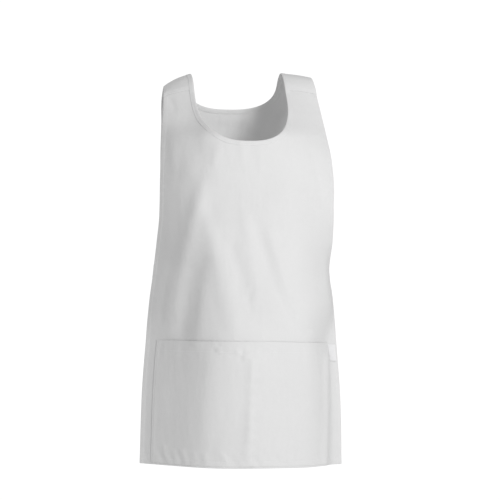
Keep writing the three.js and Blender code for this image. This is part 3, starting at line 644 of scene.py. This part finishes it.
def locate(x, z, u, d):
    """The (u, d) of the cloth points that are seen from the front at x and z."""
    for _ in range(20):
        p = cloth(u, d)
        du = (cloth(u + 0.002, d) - p) / 0.002
        dd = cloth(u, d + 0.5) * 2 - p * 2
        det = du[..., 0] * dd[..., 2] - dd[..., 0] * du[..., 2]
        ex, ez = x - p[..., 0], z - p[..., 2]
        u = np.clip(u + (ex * dd[..., 2] - ez * dd[..., 0]) / det, -0.99, 0.99)
        d = np.clip(d + (ez * du[..., 0] - ex * du[..., 2]) / det, 1, LOOP - 1)
    return u, d


def neck_curve(lowest, start, front, way):
    turn = np.linspace(0, math.pi, 61)
    side = np.sign(np.cos(turn)) * way
    x = NECK_HALF * np.abs(np.cos(turn)) ** (2 / NECK_POWER)
    z = -start - (lowest - start) * np.sin(turn) ** (2 / NECK_POWER)
    probe = np.linspace(0, CREST_AT, 300) if front else np.linspace(LOOP, CREST_AT, 300)
    guess = np.interp(z, bare(0.3, probe)[:, 2], probe)
    return locate(NECK_SIDE + side * x, z, side * x / (HALF * 0.9), guess)


def strap_line(side, a, b):
    d = np.linspace(a, b, 26)[1:-1]
    return neck_side_u(side, d), d


front_u, front_curve_d = neck_curve(NECK_FRONT, NECK_START, True, -1)
back_u, back_curve_d = neck_curve(NECK_BACK, NECK_BACK_START, False, 1)
right_u, right_d = strap_line(1, front_curve_d[-1], back_curve_d[0])
left_u, left_d = strap_line(-1, back_curve_d[-1], front_curve_d[0])
neck_u = np.concatenate([front_u, right_u, back_u, left_u])
neck_d = np.concatenate([front_curve_d, right_d, back_curve_d, left_d])


def even_loop(u, d, pitch):
    """The closed line again, at even steps along its length."""
    u, d = np.append(u, u[0]), np.append(d, d[0])
    run = run_along(cloth(u, d))
    at = np.linspace(0, run[-1], int(run[-1] / pitch) + 1)[:-1]
    return np.interp(at, run, u), np.interp(at, run, d), run[-1]


STATION = 3.0  # between the binding's sections
neck_u, neck_d, neck_long = even_loop(neck_u, neck_d, STATION)
print("neck edge", round(neck_long), "mm")


# %% Sweep the binding
def frame_at(u, d):
    """Across and along directions of the cloth at a line's points, and its normal."""
    across = (cloth(u + 0.001, d) - cloth(u - 0.001, d)) / 0.002
    up = cloth(u, d + 0.5) - cloth(u, d - 0.5)
    return across, up, unit(np.cross(across, up))


def into_cloth(u, d, run):
    """Points run mm inward from the neck line, measured on the cloth, as (u, d)."""
    across, up, n = frame_at(u, d)
    p = cloth(u, d)
    inward = np.cross(unit(np.roll(p, -1, 0) - np.roll(p, 1, 0)), n)
    uu, ud, dd = (across * across).sum(-1), (across * up).sum(-1), (up * up).sum(-1)
    bu, bd = (inward * across).sum(-1), (inward * up).sum(-1)
    det = uu * dd - ud * ud
    return u + run * (bu * dd - bd * ud) / det, d + run * (bd * uu - bu * ud) / det, inward


def face_outward(piece):
    """Turns all faces of a closed piece outward."""
    deselect()
    piece.select_set(True)
    bpy.context.view_layer.objects.active = piece
    mode("EDIT")
    bpy.ops.mesh.select_all(action="SELECT")
    bpy.ops.mesh.normals_make_consistent(inside=False)
    mode("OBJECT")


# distance in from the edge and height over the cloth's face; the last part is underneath
BIND = [
    (8.3, 0.05), (8.1, 0.42), (7.0, 0.6), (5.6, 0.32), (4.2, 0.62), (2.0, 0.7), (0.2, 0.62),
    (-0.8, 0.3), (-1.1, -0.2),
]
profile = [(run, lift, 1) for run, lift in BIND] + [(-0.8, 0.3, -1), (0.2, 0.62, -1)]
profile += [(4.2, 0.62, -1), (7.0, 0.6, -1), (8.1, 0.42, -1), (8.3, 0.05, -1)]
ring = []
station = np.arange(len(neck_u))
wobble = 0.12 * np.sin(station * 0.83) + 0.1 * np.sin(station * 0.31)
for run, lift, face in profile:
    u, d, inward = into_cloth(neck_u, neck_d, max(run, 0))
    n = frame_at(u, d)[2]
    away = (CLOTH / 2 + lift + (wobble if run > 4 else 0)) * face
    away = away + (lap_lift(d) if face > 0 else 0 * d)
    ring.append(cloth(u, d) + inward * min(run, 0) + n * away[..., None])
ring = np.stack(ring, 1)
count, corners = ring.shape[:2]
faces = []
for i in range(count):
    a, b = i * corners, (i + 1) % count * corners
    faces += [[a + k, a + (k + 1) % corners, b + (k + 1) % corners, b + k] for k in range(corners)]
bind_v = run_along(np.array(profile)[:, :2])
bind_uv = np.stack([np.repeat(station * STATION, corners), np.tile(bind_v, count)], 1) / 1000
binding = make_object("binding", ring.reshape(-1, 3), faces, bind_uv)
face_outward(binding)
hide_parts("neck_binding")

# %% [markdown]
# ## Pocket
# One wide patch covers the lower front. Its mouth is turned into a band and a seam down the
# middle makes two pockets of it. It lies on the panel's hem and side folds, so it takes the
# same lifts, and stands a little away from the panel at its mouth.

# %% Make the pocket
POCKET_SHARE = 1 - POCKET_MARGIN / ((float(REACH[-1](0)) + float(REACH[1](0))) / 2)
POCKET_HALF = 203.0  # of pocket cloth from its middle to a side
POCKET_PITCH = PITCH * 0.9
BAND_AT = POCKET_DEEP - POCKET_BAND
DIVIDER_U = 0.004
SIDE_STITCH, TURNED_IN = 2.2, 7.2  # in from the pocket's side


def divider_at(D):
    return DIVIDER_U + 0.012 * (D / POCKET_DEEP - 0.5)


def divider_distance(U, D):
    return (U - divider_at(D)) * reach(U, D)


def from_pocket_side(U):
    return (1 - np.abs(U) / POCKET_SHARE) * POCKET_HALF


def pocket_lift(U, D):
    """Height of the pocket cloth's middle over the panel's middle."""
    inside = np.clip(1 - np.abs(U) / POCKET_SHARE, 0, 1)
    half = np.sin(np.pi * np.clip(np.abs(divider_distance(U, D)) / 190, 0, 1))
    mouth = smooth((D - 120) / 112) ** 2 * np.sqrt(np.clip(half * (inside > 0), 0, 1))
    puffed = 1.3 * mouth * smooth(inside / 0.12)
    panel = CLOTH / 2 + 0.22 + CLOTH / 2 + 0.12
    pressed = 0.22 * (1 - smooth(from_pocket_side(U) / 5))
    return panel + puffed - pressed


def pocket_bumps(U, D):
    """Puckers beside the divider and at the mouth's corners."""
    off = divider_distance(U, D)
    beside = np.exp(-((off / 9) ** 2))
    pull = 0.35 * beside * np.sin(D / 3.7 + 0.4 * np.sin(D / 11))
    pull += 0.25 * beside * np.sin(D / 9.1 + 1)
    corner = np.exp(-(((D - BAND_AT) / 7) ** 2)) * np.exp(-(((off + 12) / 16) ** 2))
    mouth = dimple(D, BAND_AT + 3, 16) * 0.12 * np.sin(U * HALF_CLOTH / 4.3 + np.sin(U * 31))
    groove = -0.15 * np.exp(-((off / 2.5) ** 2))
    return pull * (1 - corner) + 0.7 * corner * np.sin(off / 3.1) + mouth + groove


def pocket_cloth(U, D):
    """Lift of the pocket cloth's middle, its bumps, and where its outer face lies on that."""
    edge = 1 - smooth((from_pocket_side(U) - TURNED_IN) / 1.2)
    band = smooth((D - BAND_AT) / 1.2 + 0.5)
    lift = pocket_lift(U, D) + pocket_bumps(U, D) * (1 - edge * 0.6)
    bumps = ripple(U, D) + hem_pucker(U, D, POCKET_PUCKER)
    return lift, bumps, CLOTH / 2 + HEM_RISE * np.maximum(band, 0.4 * edge)


BAND_STITCH = BAND_AT + 1.9
pocket_marks = (POCKET_FOOT, 3.6, 5, 8.5, 11.2, 11.9, 12.6, 14, BAND_AT - 1.4, BAND_AT - 0.6,
                BAND_AT + 0.2, BAND_AT + 1.0, BAND_STITCH, BAND_AT + 2.6, POCKET_DEEP - 2,
                POCKET_DEEP - 0.8)
pocket_d = lines(POCKET_FOOT, POCKET_DEEP, POCKET_PITCH, pocket_marks)
even = lines(-1, 1, POCKET_PITCH / 200, (-0.022, -0.013, -0.006, 0.004, 0.014, 0.021, 0.03))
edge_in = np.array((0, 0.7, 1.6, SIDE_STITCH, 2.8, 4.5, TURNED_IN, 8.2, 10)) / POCKET_HALF
pocket_u = np.unique(np.concatenate([
    (even * (1 - edge_in[-1]))[1:-1], -1 + edge_in, 1 - edge_in,
])) * POCKET_SHARE
U, D = np.meshgrid(pocket_u, pocket_d)
stitch = dimple(from_pocket_side(U), SIDE_STITCH, 0.7) + dimple(D, BAND_STITCH)
stitch += dimple(D, HEM_STITCH)
lift, bumps, face = pocket_cloth(U, D)
outer = lift + face - SINK * np.clip(stitch, 0, 1) + bumps
inner = np.maximum(lift - CLOTH / 2 + bumps, CLOTH / 2 + 0.1 + bumps)
pocket = sheet("pocket_sheet", U, D, outer, inner)
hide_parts("pocket")

# %% [markdown]
# ## Label tab
# A small woven tab is caught in the pocket's right edge. It is left bare: white ribbon with a
# selvedge along its two sides and a folded outer end that curls a little off the panel.

# %% Make the label tab
per_mm = 1 / float(REACH[1](POCKET_DEEP - LABEL_HIGH / 2))
label_x = np.array([0, 0.6, 1.8, 3, 5, 7, 9, 11, 13, 15, 16.5, 17.6, 18.6, LABEL_WIDE])
label_u = POCKET_SHARE + (0.6 + label_x) * per_mm
label_d = POCKET_DEEP - LABEL_BELOW - np.array(
    [LABEL_HIGH, 30.4, 29.2, 27.5, 24, 20, 16, 12, 8, 4, 2, 1, 0.4, 0]
)
U, D = np.meshgrid(label_u, label_d)
out = (U - label_u[0]) / (label_u[-1] - label_u[0])
run_off = 1.0 * out**2 + 0.25 * np.sin(D / 6.0) * out
selvedge = 0.12 * (dimple(D, label_d[0] + 1.4, 0.8) + dimple(D, label_d[-1] - 1.4, 0.8))
base = CLOTH / 2 + 0.6 + run_off
label = sheet("label", U, D, base + 0.55 + selvedge, base)
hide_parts("pocket_label")
print("label", len(label.data.polygons), "faces")

# %% [markdown]
# ## Side tabs
# The sides are open and each is closed at the waist by a short strap. It is sewn behind the
# front's edge and lies on the outside of the back panel, where a snap holds it. Cloth this
# short stays almost flat, so it is a sheet bent along a smooth line.

# %% Make the tabs
TAB = 1.5  # two layers of cloth
TAB_STEPS = 40
# lines along the tab, as shares of its width; two of them are stitched at each side
TAB_LINES = np.array([0.5, 0.47, 0.42, 0.36, 0.3, 0.15, 0])
TAB_LINES = np.concatenate([TAB_LINES, -TAB_LINES[-2::-1]])
TAB_MIDDLE = 6


def level_d(z, front):
    """Where the cloth's side edge reaches a height, in front or behind."""
    low, high = (0.0, CREST_AT) if front else (LOOP, CREST_AT)
    for _ in range(40):
        middle = (low + high) / 2
        below = bare(1.0, middle)[2] < z
        low, high = (middle, high) if below else (low, middle)
    return low


def tab_line(side, level):
    """Points along the tab at one height, from behind the front to its end on the back."""

    def on_panel(shares, length, front, lift):
        d = level_d(-level, front)
        us = [side * (1 - length * share / float(REACH[side](d))) for share in shares]
        return [cloth(u, d) + facing(cloth, np.asarray(u), np.asarray(d)) * lift for u in us]

    inside = -CLOTH / 2 - HEM_LAYER - LAP_GAP - TAB / 2
    outside = CLOTH / 2 + 0.6 + TAB / 2
    points = on_panel((1, 0.6, 0.2, 0), TAB_ON_FRONT, True, inside)
    on_back = on_panel((0, 0.1, 0.25, 0.4, 0.55, 0.7, 0.85, 1), TAB_ON_BACK, False, outside)
    points += [on_back[0] + (on_back[1] - on_back[0]) * -1.5] + on_back
    points = np.array(points)
    points[:, 2] = -level
    run = run_along(points)
    at = np.linspace(0, run[-1], TAB_STEPS)
    return np.stack([through(run, points[:, i])(at) for i in range(3)], 1), run[-1]


def make_tab(name, side, node):
    both = [tab_line(side, TAB_LEVEL + share * TAB_WIDE) for share in TAB_LINES]
    grid = np.array([line for line, _ in both])
    long = both[TAB_MIDDLE][1]
    out = unit(np.cross(np.gradient(grid, axis=1), np.gradient(grid, axis=0)) * -side)
    if (out[TAB_MIDDLE, 20] * grid[TAB_MIDDLE, 20] * (1, 1, 0)).sum() < 0:
        out = -out
    off = np.abs(TAB_LINES)
    rib = 0.12 * (dimple(off, 0.44, 0.03) - dimple(off, 0.39, 0.025))
    end = 1 - 0.5 * (np.arange(TAB_STEPS) == TAB_STEPS - 1)
    lift = out * ((TAB / 2 + rib)[:, None] * end)[..., None]
    index, quads = grid_quads(grid.shape[:2])
    total = index.size
    faces = [*quads.tolist(), *(quads[:, ::-1] + total).tolist()]
    border = [*index[0], *index[1:, -1], *index[-1, -2::-1], *index[-2:0:-1, 0]]
    for a, b in zip(border, border[1:] + border[:1]):
        faces.append([b, a, a + total, b + total])
    uv = np.meshgrid(np.linspace(0, long, TAB_STEPS), TAB_LINES * TAB_WIDE)
    uv = np.stack(uv, -1).reshape(-1, 2) / 1000
    points = np.concatenate([(grid + lift).reshape(-1, 3), (grid - lift).reshape(-1, 3)])
    tab = make_object(name, points, faces, np.concatenate([uv, uv]))
    face_outward(tab)
    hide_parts(node)
    round(long / 1000, 4)
    return tab, grid, out


tab_left, grid_left, out_left = make_tab("tab_left", -1, "side_tab_left")
tab_right, grid_right, out_right = make_tab("tab_right", 1, "side_tab_right")
print("tabs", len(tab_left.data.polygons), "faces each")

# %% [markdown]
# ## Snaps
# Each tab closes with a pressed metal cap. Its edge is rolled and its face has a shallow ring,
# which is what shows that it is a snap. It starts as a disc, whose face is inset and pushed
# in steps, and its edge is bevelled. It is made once and copied.

# %% Make the snaps
CAP_RADIUS, CAP_THICK, ROLLED = 0.006, 0.0012, 0.00035  # metres
# each inset of the face: how far in and how far up
RINGS = ((0.0009, 0.0), (0.0005, -0.00045), (0.0012, 0.0), (0.0006, 0.0004), (0.0013, 0.0001))


def make_snap():
    deselect()
    bpy.ops.mesh.primitive_cylinder_add(
        vertices=40, radius=CAP_RADIUS, depth=CAP_THICK, location=(0, 0, CAP_THICK / 2)
    )
    cap = bpy.context.object
    mode("EDIT")
    bpy.ops.mesh.select_mode(type="FACE")
    bpy.ops.mesh.select_all(action="DESELECT")
    mode("OBJECT")
    for face in cap.data.polygons:
        face.select = face.normal.z > 0.9
    mode("EDIT")
    for thick, deep in RINGS:
        bpy.ops.mesh.inset(thickness=thick, depth=deep)
    mode("OBJECT")
    bevel = cap.modifiers.new("rolled edge", "BEVEL")
    bevel.width, bevel.segments, bevel.limit_method, bevel.angle_limit = ROLLED, 3, "ANGLE", 0.5
    bpy.ops.object.modifier_apply(modifier="rolled edge")
    bpy.ops.object.shade_smooth_by_angle(angle=0.6)
    return cap


def seat(piece, at_mm, normal):
    """Moves a piece's mesh so that its +Z follows the normal at a point."""
    turn = Vector((0, 0, 1)).rotation_difference(Vector(normal)).to_matrix().to_4x4()
    turn.translation = Vector(at_mm) / 1000
    piece.data.transform(turn)


snap_left = make_snap()
snap_left.name = "snap_cap_left"
snap_right = bpy.data.objects.new("snap_cap_right", snap_left.data.copy())
bpy.context.collection.objects.link(snap_right)
CAP_AT = (TAB_MIDDLE, 31)  # the grid point that a cap sits on
for cap, grid, out, node in (
    (snap_left, grid_left, out_left, "snap_left"),
    (snap_right, grid_right, out_right, "snap_right"),
):
    seat(cap, grid[CAP_AT] + out[CAP_AT] * (TAB / 2 + 0.05), out[CAP_AT])
    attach(cap, "root")
    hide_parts(node)
print("snap", len(snap_left.data.polygons), "faces")

# %% [markdown]
# ## Stitches
# Seams are what make cloth read as sewn. One stitch is a small thread capsule, made from a
# sphere by scaling. Its mesh is then repeated along each seam every three millimetres, with
# slightly uneven length and turn, and sunk a little into the cloth.

# %% Model one stitch and lay it along lines
deselect()
STITCH_SIZE = (1.12, 0.27, 0.24)  # half its length, width and height
bpy.ops.mesh.primitive_uv_sphere_add(segments=6, ring_count=4, radius=1)
mode("EDIT")
bpy.ops.mesh.select_all(action="SELECT")
bpy.ops.transform.rotate(value=math.pi / 2, orient_axis="Y", center_override=(0, 0, 0))
bpy.ops.transform.resize(value=STITCH_SIZE)
mode("OBJECT")
one = bpy.context.object
stitch_points = np.array([tuple(v.co) for v in one.data.vertices])
stitch_faces = [list(face.vertices) for face in one.data.polygons]
bpy.data.objects.remove(one)


STITCH_PITCH, AHEAD, ABOVE = 2.9, 0.8, 0.06
threads = []


def seam(name, points, normals, closed=False):
    """Copies of the stitch along a line of points, as one mesh."""
    if closed:
        points, normals = np.append(points, points[:1], 0), np.append(normals, normals[:1], 0)
    run = run_along(points)
    count = int(run[-1] / STITCH_PITCH)
    at = (np.arange(count) + 0.5) * run[-1] / count

    def read(values, where):
        return np.stack([np.interp(where, run, values[:, i]) for i in range(3)], 1)

    up = unit(read(normals, at))
    ahead = read(points, at + AHEAD) - read(points, at - AHEAD)
    ahead = unit(ahead - up * (ahead * up).sum(1, keepdims=True))
    aside = np.cross(up, ahead)
    ahead = ahead + aside * (0.06 + 0.05 * np.sin(np.arange(count) * 2.4))[:, None]
    long = 1 + 0.08 * np.sin(np.arange(count) * 1.7)
    p = stitch_points[None]
    placed = (
        read(points, at)[:, None]
        + ahead[:, None] * p[..., :1] * long[:, None, None]
        + aside[:, None] * p[..., 1:2]
        + up[:, None] * (p[..., 2:] + ABOVE)
    )
    size = len(stitch_points)
    faces = [[v + i * size for v in face] for i in range(count) for face in stitch_faces]
    piece = make_object(name, placed.reshape(-1, 3), faces)
    threads.append(piece)


def on_cloth(u, d, lift):
    u, d = pairs(u, d)
    n = facing(cloth, u, d)
    return cloth(u, d) + n * np.asarray(lift)[..., None], n


def on_pocket(u, d):
    lift, bumps, face = pocket_cloth(u, d)
    return on_cloth(u, d, lift + bumps + face - 0.18)


# %% Sew the panels
SIDES = (("left", -1), ("right", 1))
FACE = CLOTH / 2 + 0.02
HEM_END = 0.965  # share across at which the hem's stitches end
front_d = np.linspace(8, FRONT_END - 1, 300)
back_d = np.linspace(FRONT_END + 6, LOOP - 8, 300)
for name, s in SIDES:
    u = s * (1 - STITCH_IN / REACH[s](front_d))
    lift = FACE + ripple(u, front_d) + hem_pucker(u, front_d, FRONT_PUCKER)
    seam("side_thread_" + name, *on_cloth(u, front_d, lift))
    u = s * (1 - STITCH_IN / REACH[s](back_d))
    lift = FACE + lap_lift(back_d) + ripple(u, back_d)
    lift += hem_pucker(u, LOOP - back_d, BACK_PUCKER)
    seam("back_side_thread_" + name, *on_cloth(u, back_d, lift))
hem_u = np.linspace(-HEM_END, HEM_END, 260)
for name, s in SIDES:
    u = hem_u[hem_u * s > POCKET_SHARE]
    if len(u) > 2:
        lift = FACE + hem_pucker(u, HEM_STITCH + 0 * u, FRONT_PUCKER)
        seam("hem_thread_" + name, *on_cloth(u, HEM_STITCH, lift))

# %% Sew the pocket
u = hem_u[np.abs(hem_u) < POCKET_SHARE]
seam("pocket_foot_thread", *on_pocket(u, HEM_STITCH + 0 * u))
u = np.linspace(-POCKET_SHARE + 0.012, POCKET_SHARE - 0.012, 260)
seam("pocket_band_thread", *on_pocket(u, BAND_STITCH + 0 * u))
d = np.linspace(5, POCKET_DEEP - 1, 200)
for name, s in SIDES:
    u = s * POCKET_SHARE * (1 - SIDE_STITCH / POCKET_HALF) + 0 * d
    seam("pocket_side_thread_" + name, *on_pocket(u, d))
seam("pocket_middle_thread", *on_pocket(divider_at(d), d))

# %% Sew the back's hem, the binding, the shoulder seams and the tabs
u = np.linspace(-HEM_END, HEM_END, 200)
lift = FACE + hem_pucker(u, HEM_STITCH + 0 * u, BACK_PUCKER)
seam("back_hem_thread", *on_cloth(u, LOOP - HEM_STITCH, lift))
u, d, _ = into_cloth(neck_u, neck_d, 5.7)
seam("binding_thread", *on_cloth(u, d, CLOTH / 2 + 0.36 + lap_lift(d)), closed=True)
for name, s in SIDES:
    for row, d in (("a", BACK_START + 2.0), ("b", BACK_START + 7.5)):
        inner_edge = float(neck_side_u(s, np.array([d]))[0])
        u = np.linspace(inner_edge + s * 0.045, s * 0.99, 60)
        seam("seam_thread_" + name + "_" + row, *on_cloth(u, d, FACE + CLOTH + LAP_GAP))
for name, grid, out in (("left", grid_left, out_left), ("right", grid_right, out_right)):
    for row in (3, 9):
        up = out[row, 2:38]
        seam("tab_thread_" + name + "_" + str(row), grid[row, 2:38] + up * (TAB / 2 + 0.04), up)
print(len(threads), "seams,", sum(len(t.data.polygons) for t in threads), "faces of thread")

# %% [markdown]
# ## Shader sums as plain expressions
# A wrapped socket lets a material be written like a formula: each sum adds its own Math node.
# Numbers stay numbers until they meet a socket, so the node tree holds nothing to spare.

# %% Socket wrapper
class Wire:
    def __init__(self, shader, socket):
        self.shader, self.socket = shader, socket

    def math(self, kind, *others):
        values = dict(enumerate((self, *others)))
        return self.shader.node("ShaderNodeMath", {"operation": kind}, values)[0]

    def __add__(self, other):
        return self.math("ADD", other)

    def __sub__(self, other):
        return self.math("SUBTRACT", other)

    def __mul__(self, other):
        return self.math("MULTIPLY", other)

    __radd__ = __add__
    __rmul__ = __mul__

    def __rsub__(self, other):
        values = {0: other, 1: self}
        return self.shader.node("ShaderNodeMath", {"operation": "SUBTRACT"}, values)[0]

    def clamp(self, low, high):
        return self.math("MAXIMUM", low).math("MINIMUM", high)


class Shader:
    def __init__(self, name):
        self.material = bpy.data.materials.new(name)
        self.material.use_nodes = True
        self.tree = self.material.node_tree
        self.surface = self.tree.nodes["Principled BSDF"]

    def node(self, kind, settings=None, values=None):
        """Adds a node: its settings first, then values or wires for its input sockets."""
        made = self.tree.nodes.new(kind)
        for key, value in (settings or {}).items():
            setattr(made, key, value)
        self.put(made, values or {})
        return [Wire(self, socket) for socket in made.outputs]

    def put(self, made, values):
        for key, value in values.items():
            if isinstance(value, Wire):
                self.tree.links.new(value.socket, made.inputs[key])
            else:
                made.inputs[key].default_value = value

    def blend(self, share, first, second):
        made = self.tree.nodes.new("ShaderNodeMix")
        made.data_type = "RGBA"
        self.put(made, {0: share, 6: first, 7: second})
        return Wire(self, made.outputs[2])

    def noise(self, where, scale, detail=2.0, rough=0.5):
        return self.node("ShaderNodeTexNoise", {}, {
            "Vector": where, "Scale": scale, "Detail": detail, "Roughness": rough,
        })[0]

    def bump(self, height, distance, strength=1.0, under=None):
        values = {"Height": height, "Distance": distance, "Strength": strength}
        if under is not None:
            values["Normal"] = under
        return self.node("ShaderNodeBump", {}, values)[0]

    def finish(self, values):
        self.put(self.surface, values)
        return self.material


# %% [markdown]
# ## White poly-cotton
# The apron is plain white poly-cotton twill: a fine diagonal weave, faint slubs, soft crinkles
# from washing, and a matt surface with a little sheen at grazing angles. The weave follows
# the cloth's own UV map in millimetres. Crinkles read the object's coordinates, so they run on
# from the panel to its pocket.

# %% Cloth, label, thread and metal materials
WHITE = (0.803, 0.803, 0.803, 1)
SHADE = (0.752, 0.752, 0.752, 1)
WARP, WEFT, TWILL = 6900, 7600, 5200  # waves per metre of cloth, times two pi


def poly_cotton(name, crinkle=1.0):
    s = Shader(name)
    place = s.node("ShaderNodeTexCoord")
    where = place[3]
    slow = s.noise(where, 9, 3)
    fine = s.noise(where, 160, 3)
    tone = ((slow - 0.5) * 1.3 + (fine - 0.5) * 0.5 + 0.35).clamp(0, 1)
    hung = s.node("ShaderNodeMapping", {}, {0: where, 3: (1.0, 1.0, 0.3)})[0]
    crumple = s.noise(hung, 42, 2, 0.4)
    small = s.noise(hung, 130, 2, 0.5)
    normal = s.bump(crumple, 0.0011 * crinkle, 1.0)
    normal = s.bump(small, 0.00022 * crinkle, 1.0, normal)
    u, v, _ = s.node("ShaderNodeSeparateXYZ", {}, {0: place[2]})
    rib = ((u + v * 0.62) * TWILL).math("SINE")
    weave = rib * 0.6 + (u * WARP).math("SINE") * (v * WEFT).math("SINE") * 0.5 + fine * 1.2
    return s.finish({
        "Base Color": s.blend((tone + rib * 0.10).clamp(0, 1), SHADE, WHITE),
        "Roughness": fine * 0.12 + 0.78,
        "Sheen Weight": 0.12,
        "Sheen Roughness": 0.5,
        "Specular IOR Level": 0.25,
        "Normal": s.bump(weave, 0.00009, 0.8, normal),
    })


def ribbon(name):
    s = Shader(name)
    place = s.node("ShaderNodeTexCoord")
    u, v, _ = s.node("ShaderNodeSeparateXYZ", {}, {0: place[2]})
    cord, fill = (v * 9000).math("SINE"), (u * 7000).math("SINE")
    fine = s.noise(place[3], 300, 2)
    return s.finish({
        "Base Color": s.blend(fine, (0.80, 0.80, 0.81, 1), (0.88, 0.88, 0.885, 1)),
        "Roughness": fine * 0.15 + 0.5,
        "Sheen Weight": 0.2,
        "Normal": s.bump(cord * 0.7 + fill * 0.3 + fine, 0.00008, 0.8),
    })


def thread(name):
    s = Shader(name)
    fine = s.noise(s.node("ShaderNodeTexCoord")[3], 900, 2)
    return s.finish({
        "Base Color": s.blend(fine, (0.78, 0.78, 0.79, 1), (0.9, 0.9, 0.905, 1)),
        "Roughness": fine * 0.2 + 0.55,
        "Normal": s.bump(fine, 0.0002, 0.6),
    })


def pressed_metal(name):
    s = Shader(name)
    where = s.node("ShaderNodeTexCoord")[3]
    wear, scuff = s.noise(where, 700, 4, 0.6), s.noise(where, 2400, 2)
    return s.finish({
        "Base Color": s.blend(wear, (0.46, 0.465, 0.48, 1), (0.64, 0.645, 0.655, 1)),
        "Metallic": 1.0,
        "Roughness": wear * 0.25 + scuff * 0.08 + 0.16,
        "Normal": s.bump(scuff, 0.00003, 0.5),
    })


def wear_material(piece, material):
    piece.data.materials.clear()
    piece.data.materials.append(material)


cloth_finish, metal_finish = poly_cotton("white poly-cotton"), pressed_metal("pressed metal")
for material, pieces in (
    (cloth_finish, (front_panel, back_panel, pocket)),
    (poly_cotton("white binding", crinkle=0.5), (binding, tab_left, tab_right)),
    (ribbon("woven ribbon"), (label,)),
    (thread("cotton thread"), threads),
    (metal_finish, (snap_left, snap_right)),
):
    for piece in pieces:
        wear_material(piece, material)
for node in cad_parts:
    material = metal_finish if node.startswith("snap") else cloth_finish
    wear_material(bpy.data.objects[node], material)
print("materials", [m.name for m in bpy.data.materials])

# %% [markdown]
# ## Studio
# A pale floor lies well below the hem. The white surround is bright to the camera and
# softer as a light, as with a lit background paper. One large soft light stands to the right
# of the front, so the left half of the cloth falls into gentle shade, and a weak one behind
# keeps the back readable.

# %% Floor, surround and lights
deselect()
FLOOR_RADIUS, FLOOR_Z = 4.6, -1.45
bpy.ops.mesh.primitive_circle_add(
    vertices=96, radius=FLOOR_RADIUS, fill_type="NGON", location=(0, 0, FLOOR_Z)
)
floor = bpy.context.object
floor.name = "floor"
paper = Shader("pale floor")
spot = paper.noise(paper.node("ShaderNodeTexCoord")[3], 3, 2)
wear_material(floor, paper.finish({
    "Base Color": paper.blend(spot, (0.80, 0.80, 0.80, 1), (0.84, 0.84, 0.84, 1)),
    "Roughness": 0.9,
}))

world = bpy.data.worlds.new("surround")
bpy.context.scene.world = world
world.use_nodes = True
sky = world.node_tree
seen = sky.nodes["Background"]
seen.inputs[0].default_value = (1, 1, 1, 1)
seen.inputs[1].default_value = 1.05
soft = sky.nodes.new("ShaderNodeBackground")
soft.inputs[0].default_value = (0.98, 0.98, 0.98, 1)
soft.inputs[1].default_value = 0.42
which = sky.nodes.new("ShaderNodeLightPath")
choose = sky.nodes.new("ShaderNodeMixShader")
for i, output in enumerate((which.outputs["Is Camera Ray"], soft.outputs[0], seen.outputs[0])):
    sky.links.new(output, choose.inputs[i])
sky.links.new(choose.outputs[0], sky.nodes["World Output"].inputs[0])


def area_light(name, azimuth, height, away, size, watts):
    """A square light that looks at the apron's middle, azimuth from the front to the right."""
    turn = math.radians(azimuth)
    data = bpy.data.lights.new(name, "AREA")
    data.size, data.energy = size, watts
    lamp = bpy.data.objects.new(name, data)
    bpy.context.collection.objects.link(lamp)
    lamp.location = (away * math.sin(turn), -away * math.cos(turn), AIM_Z + height)
    lamp.rotation_mode = "QUATERNION"
    lamp.rotation_quaternion = (Vector((0, 0, AIM_Z)) - lamp.location).to_track_quat("-Z", "Y")


area_light("key", 20, 0.9, 3.4, 1.0, 67)
area_light("back fill", 215, 0.8, 3.4, 1.2, 48)
print("studio ready")
